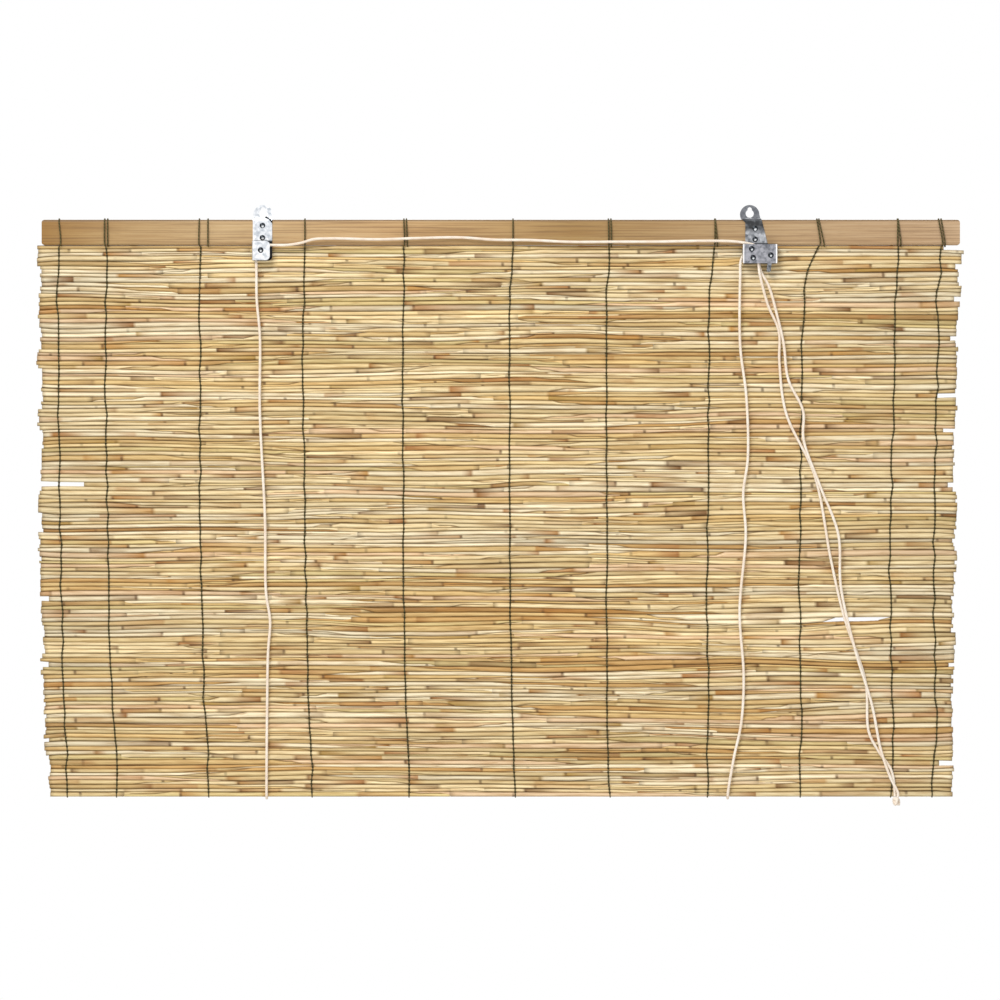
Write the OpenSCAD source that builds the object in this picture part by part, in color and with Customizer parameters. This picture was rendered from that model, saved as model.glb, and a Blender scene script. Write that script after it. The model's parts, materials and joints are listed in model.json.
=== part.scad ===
// Reed roll-up blind on two hanging brackets. A wooden head rail carries a mat of reeds that is bound
// by looped threads. A pulley bracket hangs the left side and a cord lock hangs the right side.
// Millimetres, +Z up, the front is -Y. The origin lies on the wall, midway between the hanging holes.

/* [Hanging] */
// Distance between the two hanging holes
hole_spacing = 478; // [440:2:520]
// Wide part of each keyhole, which passes over the screw head
keyhole_d = 8; // [7:0.5:9]
// Narrow part of each keyhole, which grips the screw
key_slot_d = 4.2; // [3.4:0.2:4.8]
// Rise from the centre of the wide part to the centre of the narrow part
key_slot_rise = 4.2; // [3.6:0.2:4.6]

/* [Head rail] */
// Length of the rail
rail_length = 900; // [860:10:1000]
// Height of the rail's face
rail_h = 25; // [24:1:34]
// Thickness of the rail
rail_t = 8; // [7:0.5:12]
// Rounding along the rail's long edges
rail_edge_r = 2.5; // [1.5:0.5:3]
// Rounding of the rail's corners at its two ends
rail_end_r = 3; // [2:0.5:6]
// Drop from the hanging holes to the top of the rail
rail_drop = 6.5; // [6:0.5:10]
// Sideways offset of the rail's middle from the midpoint of the holes
rail_shift = -5.5; // [-10:0.5:10]
// Room between the wall and the back of the rail
wall_gap = 4.2; // [4.2:0.2:8]

/* [Reed mat] */
// Number of reeds, one above the other
reed_rows = 135; // [100:1:150]
// Height that each reed takes up
reed_pitch = 4; // [3.6:0.1:4.4]
// Least bite of one reed into the next, so that the mat is one wall
reed_bite = 0.1; // [0.06:0.02:0.2]
// Extra diameter of the thickest reed over the thinnest
reed_swell = 0.5; // [0.2:0.1:0.7]
// Room between the rail and the first reed
mat_seat = 0.15; // [0.1:0.05:0.2]
// Reeds that were laid in together and end nearly alike
bundle_rows = 5; // [2:1:9]
// Most that a bundle's ends stray from the edge of the mat
end_stray = 2; // [0:0.5:3]
// Most that one reed's end strays from its bundle
end_fray = 0.6; // [0:0.1:1.5]
// How far the mat stands out past the rail's left end at the top
left_overhang = 3.5; // [0:0.5:8]
// How far the left edge drifts inwards on the way down
left_creep = 2.5; // [0:0.5:8]
// How far the lower left corner turns in
left_corner = 10; // [0:1:20]
// How far the mat stands out past the rail's right end at the top
right_overhang = 3; // [0:0.5:8]
// How far the right edge drifts inwards on the way down
right_creep = 10; // [0:1:20]
// Reed at which one reed has sprung open and leaves a see-through slit
slit_row = 91; // [10:1:95]
// Distance of the slit's middle from the rail's right end
slit_inset = 101.5; // [94:0.5:125]
// Length of the slit
slit_length = 61; // [20:1:64]
// Height of the slit at its middle
slit_h = 4.6; // [3:0.2:6]

/* [Binding threads] */
// Width of a binding thread
thread_w = 1; // [0.6:0.1:1.4]
// Thickness of a binding thread
thread_t = 0.8; // [0.5:0.1:0.9]
// Slack between a thread and what it binds
thread_slack = 0.15; // [0.12:0.01:0.2]
// Threads between the two edge threads
inner_threads = 9; // [9:1:9]
// Distance of the edge threads from the rail's ends
edge_thread_inset = 20; // [12:1:30]
// Distance of the outermost inner threads from the rail's ends
inner_thread_inset = 66; // [55:1:80]
// Least room beside a bracket, to which a thread that would run under it is moved
thread_room = 2; // [1:0.5:6]

/* [Bracket sheet] */
// Thickness of the galvanised sheet
sheet_t = 1.2; // [0.8:0.1:1.4]
// Inner radius of the sheet's bends
bend_r = 1; // [0.6:0.1:1.4]
// Width of the strap on the pulley side
strap_w = 19; // [18:0.5:24]
// Drop of the tab's round end below the hole
tab_dip = 1; // [0:0.2:1.6]
// Room between the back and front plates of the housings
housing_gap = 7; // [6.8:0.1:8]
// Running room on each side of what turns inside the housings
side_clear = 0.3; // [0.2:0.05:0.5]

/* [Pulley housing] */
// Outer face of the folded side, from the hole
web_x = -10.1; // [-11:0.1:-9.6]
// Free edge of the front plate, from the hole
plate_x = 7.5; // [6:0.5:9]
// Top of the housing above the rail's lower edge
pulley_plate_rise = 3.7; // [2:0.1:4]
// Bottom of the housing below the rail's lower edge
pulley_plate_drop = 15.1; // [13:0.1:19]
// Rounding of the plate's free corners
plate_corner_r = 4; // [1:0.5:5]
// Sideways place of the wheel's axle, from the hole
pulley_x = -1.4; // [-1.6:0.1:0]
// Drop of the wheel's axle below the rail's lower edge
pulley_drop = 5.3; // [4.6:0.1:7]
// Diameter over the wheel's flanges
pulley_flange_d = 12; // [11.4:0.2:13]
// Diameter of the cord's centre line on the wheel
pulley_pitch_d = 10; // [9.6:0.1:10.4]
// Width of the wheel's round groove
pulley_groove_d = 3.2; // [3:0.1:3.6]

/* [Lock housing] */
// Left side of the lock, from the hole
lock_left = -8; // [-9:0.2:-6.6]
// Right side of the lock, from the hole
lock_right = 26.5; // [26:0.5:32]
// Top of the lock above the rail's lower edge
lock_rise = 0.6; // [0.4:0.1:2]
// Bottom of the lock below the rail's lower edge
lock_drop = 18.1; // [17:0.1:19]
// Rounding of the lock's corners
lock_corner_r = 1.5; // [0.5:0.1:2]
// Left edge of the leaning strap, from the hole
lean_left = -4.9; // [-6:0.1:-3]
// Right edge of the leaning strap where it folds over the rail
lean_right_top = 11; // [10.6:0.2:13]
// Right edge of the leaning strap where it meets the lock
lean_right_foot = 17.2; // [14:0.2:20]
// Top and bottom of the cord window in the left side, below the rail's lower edge
window_top = 4.5; // [4:0.5:5.5]
window_bottom = 15.5; // [14.5:0.5:16]
// Depth of the cord window
window_depth = 4.4; // [4.2:0.1:5]

/* [Lock works] */
// Guide roller's axle: sideways from the hole, and below the rail's lower edge
guide_x = 1; // [0.6:0.1:1.4]
guide_drop = 4.1; // [3.9:0.1:4.6]
// Diameter over the roller's flanges
guide_flange_d = 9.2; // [9:0.1:10]
// Diameter of the cords' centre lines on the roller
guide_pitch_d = 9; // [8.8:0.1:9.2]
// Width of each round groove in the roller
guide_groove_d = 2.7; // [2.6:0.05:2.8]
// Distance between the two cords on the roller
lane_pitch = 3.1; // [3:0.05:3.2]
// Brake post: sideways from the hole, below the rail's lower edge, and its diameter
brake_x = 2.4; // [2:0.1:2.6]
brake_drop = 12.7; // [12.3:0.1:13.5]
brake_d = 6; // [5:0.1:6.4]
// Cam's pivot: sideways from the hole, and below the rail's lower edge
cam_x = 19.7; // [19.5:0.1:20.4]
cam_drop = 10.2; // [10:0.1:11]
// Diameter of the cam's hub
cam_hub_d = 8.4; // [7:0.2:9]
// Reach of the cam's teeth from its pivot
cam_reach = 11; // [10:0.1:11.2]
// Depth of the cam's teeth
tooth_h = 0.6; // [0.3:0.1:0.9]
// Number of teeth on the cam's nose
tooth_count = 7; // [5:1:9]
// Reach of the cam's tail, and its width
tail_length = 14.5; // [13:0.5:17]
tail_w = 4; // [3:0.2:5]

/* [Fixings] */
// Diameter of the rivets' shanks
rivet_d = 3; // [2.4:0.1:3.4]
// Diameter and height of a rivet's front head
rivet_head_d = 5.6; // [5:0.1:6.2]
rivet_head_h = 1.1; // [0.6:0.1:1.6]
// Diameter and height of a rivet's closed back end
rivet_back_d = 4.6; // [4.2:0.1:5]
rivet_back_h = 0.8; // [0.4:0.1:1]
// Running and seating clearance round rivets, screws and staples
fix_clear = 0.05; // [0.02:0.01:0.08]
// Diameter of the screws' shanks, and how deep they go into the rail
screw_d = 2.6; // [2:0.1:3]
screw_depth = 6; // [4:0.5:6.5]
// Diameter of a screw's head, and the height of its dome
screw_head_d = 5.4; // [4.6:0.1:6]
screw_dome_h = 0.8; // [0.4:0.1:1.2]
// Pulley strap's screws: first one below the rail's top, and the pitch to the next
pulley_screw_drop = 5.8; // [5.2:0.2:7]
pulley_screw_pitch = 12; // [9:0.1:12]
// Lock strap's screws: sideways from the hole, below the rail's top, and pitch
lock_screw_x = 4.7; // [3:0.1:6]
lock_screw_drop = 8.9; // [6:0.1:9]
lock_screw_pitch = 10.4; // [8:0.1:11]

/* [Cord] */
// Diameter of the lift cords
cord_d = 2.4; // [2:0.1:2.4]
// Staples that hold the cords behind the rail: wire, width, leg and drop below the rail's top
staple_wire_d = 1; // [0.8:0.1:1.1]
staple_w = 5; // [4.6:0.1:6]
staple_leg = 5; // [4:0.5:6]
staple_drop = 13.5; // [8:0.5:16]
// Sideways place of each staple, from the hanging hole on its side
left_staple_x = 4; // [3.5:0.5:8]
right_staple_x = -22; // [-26:0.5:-16]
// Knot that ties the two pull cords: height, and diameters at its ends and middle
knot_h = 9; // [7:0.5:12]
knot_end_d = 6.8; // [6.6:0.1:7.4]
knot_d = 8.4; // [7.6:0.1:9]

/* [Hidden] */
$fn = 48;
rail_left = rail_shift - rail_length / 2;
rail_right = rail_shift + rail_length / 2;
rail_top = -rail_drop;
rail_bottom = rail_top - rail_h;
rail_back = -wall_gap;
rail_front = rail_back - rail_t;
strap_front = rail_front - sheet_t;
cover_back = strap_front - housing_gap;
cover_front = cover_back - sheet_t;
lane_y = (strap_front + cover_back) / 2;
turning_w = housing_gap - 2 * side_clear;
bore_d = rivet_d + 2 * fix_clear;
left_hole = -hole_spacing / 2;
right_hole = hole_spacing / 2;
mat_y = (rail_back + rail_front) / 2;
mat_top = rail_bottom - mat_seat;
reed_r_max = (reed_pitch + reed_bite + reed_swell) / 2;
mat_bottom = mat_top - reed_r_max - (reed_rows - 1) * reed_pitch - reed_r_max;
pulley_z = rail_bottom - pulley_drop;
guide_z = rail_bottom - guide_drop;
brake_z = rail_bottom - brake_drop;
cam_z = rail_bottom - cam_drop;
lock_top = rail_bottom + lock_rise;
lock_bottom = rail_bottom - lock_drop;
tab_r = strap_w / 2;
through = 60;

// How far each thread strays sideways from even spacing, left to right
thread_stray = [-2.5, -2, -6, -1, 0, 9, 8, 10.5, 5, -1.5, -4.5];

// Reeds that end short at the mat's edges: row, short by on the left, short by on the right
short_reeds = [
  [0, 0, 20], [5, 0, 5], [13, 0, 5], [22, 0, 5], [36, 0, 19], [45, 0, 10],
  [58, 44, 7], [86, 8, 0], [102, 6, 5], [121, 5, 0], [126, 0, 14]
];

// Cam's nose spans these angles about the pivot, and its tail hangs at the last one
nose_from = 182;
nose_to = 218;
tail_angle = 262;

// Cords: sides of a tube, wrap under the mat, and step of the rings round a wheel
cord_sides = 8;
cord_clear = 0.1;
wrap_r = rail_t / 2 + cord_d / 2 + cord_clear;
wrap_z = mat_bottom - 0.5 + wrap_r - cord_d / 2;
wheel_step = 30;
left_lane = lane_y - lane_pitch / 2;
right_lane = lane_y + lane_pitch / 2;
left_tie_x = left_hole + left_staple_x;
right_tie_x = right_hole + right_staple_x;
cord_start_z = rail_top - staple_drop + 6;
knot_at = [382, -14.2, -572];

function thread_name(i) = str("binding_thread_", i < 9 ? "0" : "", i + 1);

// A value from 0 to 1 that looks random but is the same every time
function scatter(n, k) =
  let (s = sin(n * 127.1 + k * 311.7) * 4375.85)
  s - floor(s);

function reed_r(i) = (reed_pitch + reed_bite + reed_swell * scatter(i, 1)) / 2;
function reed_z(i) = mat_top - reed_r_max - i * reed_pitch;
function down(i) = i / (reed_rows - 1);
function short_by(i, side) = max([0, for (s = short_reeds) if (s[0] == i) s[side]]);
function stray(i, k) =
  end_stray * (2 * scatter(floor(i / bundle_rows), k) - 1) + end_fray * (2 * scatter(i, k + 2) - 1);
function reed_left(i) =
  rail_left - left_overhang + left_creep * down(i) + left_corner * pow(down(i), 8)
  + stray(i, 2) + short_by(i, 1);
function reed_right(i) =
  rail_right + right_overhang - right_creep * sqrt(down(i)) + stray(i, 3) - short_by(i, 2);

function thread_even_x(i) =
  i == 0 ? rail_left + edge_thread_inset :
  i == inner_threads + 1 ? rail_right - edge_thread_inset :
  rail_left + inner_thread_inset
  + (i - 1) * (rail_length - 2 * inner_thread_inset) / (inner_threads - 1);
function beside(x, from, to) =
  let (low = from - thread_room - thread_w / 2, high = to + thread_room + thread_w / 2)
  x <= low || x >= high ? x : x < (low + high) / 2 ? low : high;
function thread_x(i) =
  let (x = thread_even_x(i) + thread_stray[i])
  x < rail_shift ? beside(x, left_hole + min(web_x, -tab_r), left_hole + tab_r)
  : beside(x, right_hole - tab_r, right_hole + lock_right);

// Points round a wheel, with the rings set out so that the cord's flats clear the groove
function round_wheel(x, y, z, pitch_d, from, to) =
  [for (a = [from:-wheel_step:to])
    [x + pitch_d / 2 / cos(wheel_step / 2) * cos(a), y, z + pitch_d / 2 / cos(wheel_step / 2) * sin(a)]];
function under_mat(x) =
  [for (a = [0:-36:-180]) [x, mat_y + wrap_r * cos(a), wrap_z + wrap_r * sin(a)]];
// The last stretch of a pull cord drops straight onto the top of the knot
function into_knot(offset) =
  [for (rise = [4, 0]) knot_at + [offset[0], offset[1], rise]];

// Left cord: down the back, under the mat, up the front, over the pulley, along the rail, over the
// guide roller, and down as a pull cord
left_route = concat(
  [[left_tie_x, mat_y + wrap_r, cord_start_z]],
  under_mat(left_tie_x),
  [[-234.5, -13.8, -490], [-233.5, -13.9, -430], [-231.5, -13.9, -400], [-235.5, -14, -372]],
  [[-236.5, -14.2, -300], [-241.5, -14.5, -195], [-241.5, -15.2, -120], [-244.5, -15.8, -85]],
  [[-244.8, -16.6, -55]],
  round_wheel(left_hole + pulley_x, lane_y, pulley_z, pulley_pitch_d, 180, 90),
  [[-214, -16.9, -31.5], [-201, -16.8, -29.5], [-189, -16.7, -26], [-172, -16.6, -25.2]],
  [[-124, -16.4, -26], [-85, -16.3, -24.8], [-45, -16.2, -24.2], [-12, -16.2, -26.4]],
  [[24, -16.3, -26.8], [62, -16.4, -28.5], [110, -16.5, -28.4], [150, -16.8, -28.3]],
  [[190, -17.3, -27.6], [220, -18, -28], [232, -18.3, -29.3]],
  round_wheel(right_hole + guide_x, left_lane, guide_z, guide_pitch_d, 60, 0),
  [[246, -18.5, -44], [248, -18.2, -60], [256, -16, -90], [267, -13, -116], [267.5, -12.9, -146]],
  [[274, -12.9, -196], [302, -12.9, -257], [318, -12.9, -340], [331, -12.9, -396]],
  [[352, -12.9, -460], [355, -12.9, -508], [365, -12.9, -528], [377, -12.9, -546]],
  into_knot([-1.4, 1.3])
);

// Right cord: down the back, under the mat, up the front, over the guide roller, and down
right_route = concat(
  [[right_tie_x, mat_y + wrap_r, cord_start_z]],
  under_mat(right_tie_x),
  [[223, -13.8, -533], [230, -13.8, -500], [232.5, -13.9, -455], [228.5, -13.9, -390]],
  [[234.5, -14, -315], [232, -14, -275], [236.5, -14.2, -240], [235, -14.4, -180], [229, -14.8, -130]],
  [[229, -15.2, -60], [229.4, -15.3, -48], [232, -15.3, -41.5]],
  round_wheel(right_hole + guide_x, right_lane, guide_z, guide_pitch_d, 150, 0),
  [[246.2, -15.3, -44], [249.5, -15.4, -58], [257, -15.6, -72], [266, -15.6, -104]],
  [[271.5, -15.6, -128], [276, -15.6, -163], [290.5, -15.6, -194], [291, -15.6, -222]],
  [[307, -15.6, -267], [325, -15.6, -315], [327.5, -15.6, -366], [341.5, -15.6, -428]],
  [[358, -15.6, -482], [366.5, -15.6, -525], [376, -15.6, -553]],
  into_knot([1.4, -1.3])
);

function unit(v) = v / norm(v);
function heading(p, i) = unit(p[min(i + 1, len(p) - 1)] - p[max(i - 1, 0)]);
function side_vectors(p, i, last) =
  i == len(p) ? [] :
  let (t = heading(p, i), s = unit(last - (last * t) * t))
  concat([s], side_vectors(p, i + 1, s));

// A round tube along a route, kept free of twist from ring to ring
module tube(route, d) {
  n = cord_sides;
  rings = len(route);
  sides = side_vectors(route, 0, [1, 0, 0]);
  points = [
    for (i = [0:rings - 1], k = [0:n - 1])
      let (s = sides[i], u = cross(heading(route, i), s), a = 360 * k / n)
      route[i] + d / 2 * (cos(a) * s + sin(a) * u)
  ];
  wall = [
    for (i = [0:rings - 2], k = [0:n - 1], half = [0, 1])
      let (a = i * n + k, b = i * n + (k + 1) % n)
      half == 0 ? [a, a + n, b] : [b, a + n, b + n]
  ];
  start_cap = [for (k = [0:n - 1]) k];
  end_cap = [for (k = [n - 1:-1:0]) (rings - 1) * n + k];
  polyhedron(points, concat(wall, [start_cap, end_cap]));
}

// Flat shapes drawn as seen from the side, from the front and from above, given a thickness
module seen_from_side(x0, x1) {
  translate([x0, 0, 0]) rotate([90, 0, 90]) linear_extrude(x1 - x0) children();
}
module seen_from_front(y_back, depth) {
  translate([0, y_back, 0]) rotate([90, 0, 0]) linear_extrude(depth) children();
}
module seen_from_above(z0, z1) {
  translate([0, 0, z0]) linear_extrude(z1 - z0) children();
}

// A turned piece whose axis runs from the wall to the front, drawn with its base at y_base
module turned(x, y_base, z) {
  translate([x, y_base, z]) rotate([90, 0, 0]) rotate_extrude() children();
}

module rounded_plate(x0, x1, z0, z1, r) {
  translate([x0 + r, z0]) square([x1 - x0 - 2 * r, z1 - z0]);
  translate([x0, z0 + r]) square([x1 - x0, z1 - z0 - 2 * r]);
  for (x = [x0 + r, x1 - r], z = [z0 + r, z1 - r])
    translate([x, z]) circle(r);
}

// A quarter turn of sheet about (u, v), in the quadrant that the signs name
module quarter_bend(u, v, sign_u, sign_v) {
  outer = bend_r + sheet_t;
  translate([u, v]) intersection() {
    difference() {
      circle(outer);
      circle(bend_r);
    }
    translate([sign_u > 0 ? 0 : -outer, sign_v > 0 ? 0 : -outer]) square(outer);
  }
}

module dome(base_d, h) {
  sphere_r = (base_d * base_d / 4 + h * h) / (2 * h);
  intersection() {
    translate([0, h - sphere_r]) circle(sphere_r, $fn = 96);
    square([base_d / 2, h]);
  }
}

// Side view of a bracket strip: tab on the wall, bridge over the rail, strap down the rail's face
module hanger_strip(foot_z) {
  square_from_to(-sheet_t, 0, rail_top + sheet_t + bend_r, through);
  quarter_bend(-sheet_t - bend_r, rail_top + sheet_t + bend_r, 1, -1);
  square_from_to(rail_front + bend_r, -sheet_t - bend_r, rail_top, rail_top + sheet_t);
  quarter_bend(rail_front + bend_r, rail_top - bend_r, -1, 1);
  square_from_to(strap_front, rail_front, foot_z, rail_top - bend_r);
}
module square_from_to(u0, u1, v0, v1) {
  translate([u0, v0]) square([u1 - u0, v1 - v0]);
}

module keyhole() {
  seen_from_front(through / 2, through) {
    circle(keyhole_d / 2);
    translate([0, key_slot_rise]) circle(key_slot_d / 2);
    square_from_to(-key_slot_d / 2, key_slot_d / 2, 0, key_slot_rise);
  }
}

module rivet_hole(x, z) {
  translate([x, through / 2, z]) rotate([90, 0, 0]) cylinder(h = through, d = bore_d);
}

// Countersunk hole through the strap, as wide as the screw and its clearance
module screw_hole(x, z) {
  turned(x, strap_front, z) polygon([
    [0, 0],
    [screw_head_d / 2 + fix_clear, 0],
    [screw_d / 2 + fix_clear, -sheet_t],
    [0, -sheet_t]
  ]);
}

module oval_screw(x, z) {
  turned(x, strap_front, z) {
    dome(screw_head_d, screw_dome_h);
    polygon([
      [0, 0],
      [screw_head_d / 2, 0],
      [screw_d / 2, -sheet_t],
      [screw_d / 2, -sheet_t - screw_depth + screw_d / 2],
      [0, -sheet_t - screw_depth]
    ]);
  }
}

module pilot_hole(x, z) {
  translate([x, rail_front, z]) rotate([-90, 0, 0])
    cylinder(h = screw_depth + fix_clear, r = screw_d / 2 + fix_clear);
}

// Rivet through both plates of a housing, with a domed head in front and a closed end behind
module rivet(x, z) {
  stack = housing_gap + 2 * sheet_t;
  turned(x, cover_front, z) {
    dome(rivet_head_d, rivet_head_h);
    square_from_to(0, rivet_d / 2, -stack - rivet_back_h, 0);
    square_from_to(0, rivet_back_d / 2, -stack - rivet_back_h, -stack);
  }
}

function pulley_screw_z(i) = rail_top - pulley_screw_drop - i * pulley_screw_pitch;
function lock_screw_z(i) = rail_top - lock_screw_drop - i * lock_screw_pitch;

module rail_outline(grow) {
  rounded_plate(
    rail_front - grow, rail_back + grow, rail_bottom - grow, rail_top + grow, rail_edge_r + grow
  );
}

// Staple legs behind the rail, one each side of a cord
module staple_legs(x, d, depth) {
  for (side = [-1, 1])
    translate([x + side * staple_w / 2, rail_back, rail_top - staple_drop]) rotate([90, 0, 0])
      cylinder(h = depth, d = d);
}

module head_rail() {
  color("#CFB188") difference() {
    intersection() {
      seen_from_side(rail_left, rail_right) rail_outline(0);
      seen_from_front(0, through)
        rounded_plate(rail_left, rail_right, rail_bottom, rail_top, rail_end_r);
    }
    for (i = [0, 1]) {
      pilot_hole(left_hole, pulley_screw_z(i));
      pilot_hole(right_hole + lock_screw_x, lock_screw_z(i));
    }
    for (x = [left_tie_x, right_tie_x])
      staple_legs(x, staple_wire_d + 2 * fix_clear, staple_leg + fix_clear);
  }
}

// Every reed is a round rod of its own thickness and length, and bites a little into the next
module reed_mat() {
  slit_arc_r = (slit_length * slit_length / 4 + slit_h * slit_h / 4) / slit_h;
  color("#CDB285") difference() {
    for (i = [0:reed_rows - 1])
      translate([reed_left(i), mat_y, reed_z(i)]) rotate([0, 90, 0])
        cylinder(h = reed_right(i) - reed_left(i), r = reed_r(i));
    seen_from_front(mat_y + through / 2, through)
      translate([rail_right - slit_inset, reed_z(slit_row)]) intersection_for(side = [-1, 1])
        translate([0, side * (slit_arc_r - slit_h / 2)]) circle(slit_arc_r, $fn = 720);
  }
}

// A thread is one loop that follows the rail and every reed, in front and behind
module bound_outline(grow) {
  rail_outline(grow);
  for (i = [0:reed_rows - 1])
    translate([mat_y, reed_z(i)]) circle(reed_r(i) + grow);
}
module binding_thread(i) {
  color("#2F3A2C") seen_from_side(thread_x(i) - thread_w / 2, thread_x(i) + thread_w / 2)
    difference() {
      bound_outline(thread_slack + thread_t);
      bound_outline(thread_slack);
    }
}

// Left bracket: the strip's lower end is folded twice into a housing that is open on the right
module pulley_bracket() {
  fold_x = web_x + sheet_t + bend_r;
  plate_top = rail_bottom + pulley_plate_rise;
  plate_bottom = rail_bottom - pulley_plate_drop;
  color("#C4C7C9") translate([left_hole, 0, 0]) difference() {
    union() {
      intersection() {
        seen_from_side(-through, through) hanger_strip(plate_bottom);
        seen_from_front(through, 2 * through) {
          translate([0, -tab_dip]) circle(tab_r);
          square_from_to(-tab_r, tab_r, plate_top, -tab_dip);
          rounded_plate(fold_x, tab_r, plate_bottom, plate_top + plate_corner_r, plate_corner_r);
          square_from_to(fold_x, 0, plate_bottom, plate_top);
        }
      }
      intersection() {
        seen_from_above(plate_bottom, plate_top) {
          square_from_to(fold_x, 0, strap_front, rail_front);
          quarter_bend(fold_x, strap_front - bend_r, -1, 1);
          square_from_to(web_x, web_x + sheet_t, cover_back + bend_r, strap_front - bend_r);
          quarter_bend(fold_x, cover_back + bend_r, -1, -1);
          square_from_to(fold_x, plate_x, cover_front, cover_back);
        }
        seen_from_front(through, 2 * through) {
          rounded_plate(web_x, plate_x, plate_bottom, plate_top, plate_corner_r);
          square_from_to(web_x, 0, plate_bottom, plate_top);
        }
      }
    }
    keyhole();
    for (i = [0, 1]) screw_hole(0, pulley_screw_z(i));
    rivet_hole(pulley_x, pulley_z);
  }
}

module pulley_wheel() {
  color("#E9E7E0") turned(left_hole + pulley_x, lane_y, pulley_z) difference() {
    square_from_to(bore_d / 2, pulley_flange_d / 2, -turning_w / 2, turning_w / 2);
    translate([pulley_pitch_d / 2, 0]) circle(pulley_groove_d / 2);
    square_from_to(pulley_pitch_d / 2, pulley_flange_d, -pulley_groove_d / 2, pulley_groove_d / 2);
  }
}

module pulley_rivet() {
  color("#B7BABC") rivet(left_hole + pulley_x, pulley_z);
}

module pulley_bracket_screws() {
  color("#A9ACAE") for (i = [0, 1]) oval_screw(left_hole, pulley_screw_z(i));
}

module lock_strap() {
  color("#AEB2B4") translate([right_hole, 0, 0]) difference() {
    intersection() {
      seen_from_side(-through, through) hanger_strip(lock_bottom);
      seen_from_front(through, 2 * through) {
        translate([0, -tab_dip]) circle(tab_r);
        polygon([
          [-tab_r, -tab_dip], [lean_left, rail_top - bend_r], [lean_left, lock_top - lock_corner_r],
          [lean_right_foot, lock_top - lock_corner_r], [lean_right_foot, lock_top],
          [lean_right_top, rail_top], [tab_r, -tab_dip]
        ]);
        rounded_plate(lock_left, lock_right, lock_bottom, lock_top, lock_corner_r);
      }
    }
    keyhole();
    for (i = [0, 1]) screw_hole(lock_screw_x, lock_screw_z(i));
    rivet_hole(guide_x, guide_z);
    rivet_hole(brake_x, brake_z);
    rivet_hole(cam_x, cam_z);
  }
}

// Front plate of the lock, with both sides folded back to meet the strap
module lock_cover() {
  inner_left = lock_left + sheet_t;
  inner_right = lock_right - sheet_t;
  color("#AEB2B4") translate([right_hole, 0, 0]) difference() {
    intersection() {
      seen_from_above(lock_bottom, lock_top) {
        square_from_to(lock_left, inner_left, cover_back + bend_r, strap_front);
        quarter_bend(inner_left + bend_r, cover_back + bend_r, -1, -1);
        square_from_to(inner_left + bend_r, inner_right - bend_r, cover_front, cover_back);
        quarter_bend(inner_right - bend_r, cover_back + bend_r, 1, -1);
        square_from_to(inner_right, lock_right, cover_back + bend_r, strap_front);
      }
      seen_from_front(through, 2 * through)
        rounded_plate(lock_left, lock_right, lock_bottom, lock_top, lock_corner_r);
    }
    seen_from_above(rail_bottom - window_bottom, rail_bottom - window_top)
      square_from_to(lock_left - sheet_t, inner_left + sheet_t / 2, strap_front - window_depth, 0);
    rivet_hole(guide_x, guide_z);
    rivet_hole(brake_x, brake_z);
    rivet_hole(cam_x, cam_z);
  }
}

module lock_guide_roller() {
  color("#8E8A80") turned(right_hole + guide_x, lane_y, guide_z) difference() {
    square_from_to(bore_d / 2, guide_flange_d / 2, -turning_w / 2, turning_w / 2);
    for (side = [-1, 1])
      translate([guide_pitch_d / 2, side * lane_pitch / 2]) {
        circle(guide_groove_d / 2);
        square_from_to(0, guide_flange_d, -guide_groove_d / 2, guide_groove_d / 2);
      }
  }
}

module lock_brake_post() {
  color("#9A9D9F") turned(right_hole + brake_x, strap_front, brake_z)
    square_from_to(bore_d / 2, brake_d / 2, 0, housing_gap);
}

// Toothed nose to the left, against the cords, and a tail below for the thumb
module lock_cam() {
  teeth = [
    for (i = [0:2 * tooth_count])
      let (a = nose_from + (nose_to - nose_from) * i / (2 * tooth_count))
      (cam_reach - (i % 2 == 0 ? tooth_h : 0)) * [cos(a), sin(a)]
  ];
  color("#8F9294") translate([right_hole + cam_x, 0, cam_z])
    seen_from_front(strap_front - side_clear, turning_w) difference() {
      union() {
        circle(cam_hub_d / 2);
        polygon(concat([[0, cam_hub_d / 2]], teeth, [[0, -cam_hub_d / 2]]));
        rotate(tail_angle) {
          square_from_to(0, tail_length, -tail_w / 2, tail_w / 2);
          translate([tail_length, 0]) circle(tail_w / 2);
        }
      }
      circle(bore_d / 2);
    }
}

module lock_guide_rivet() {
  color("#A9ACAE") rivet(right_hole + guide_x, guide_z);
}

module lock_brake_rivet() {
  color("#A9ACAE") rivet(right_hole + brake_x, brake_z);
}

module lock_cam_rivet() {
  color("#A9ACAE") rivet(right_hole + cam_x, cam_z);
}

module lock_strap_screws() {
  color("#A9ACAE") for (i = [0, 1]) oval_screw(right_hole + lock_screw_x, lock_screw_z(i));
}

module left_lift_cord() {
  color("#EFE6E0") tube(left_route, cord_d);
}

module right_lift_cord() {
  color("#EFE6E0") tube(right_route, cord_d);
}

// A staple's crown stands off the rail by the cord's thickness, with a round bend at each leg
module cord_staples() {
  crown = cord_d + 3 * cord_clear + staple_wire_d / 2;
  corner = staple_wire_d;
  color("#B7BABC") for (x = [left_tie_x, right_tie_x]) {
    staple_legs(x, staple_wire_d, staple_leg);
    translate([x, rail_back, rail_top - staple_drop]) {
      translate([-staple_w / 2 + corner, crown, 0]) rotate([0, 90, 0])
        cylinder(h = staple_w - 2 * corner, d = staple_wire_d);
      for (side = [0, 1]) mirror([side, 0, 0]) translate([staple_w / 2 - corner, crown - corner, 0]) {
        rotate_extrude(angle = 90) translate([corner, 0]) circle(staple_wire_d / 2);
        translate([corner, 0, 0]) rotate([90, 0, 0]) cylinder(h = crown - corner, d = staple_wire_d);
      }
    }
  }
}

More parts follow.
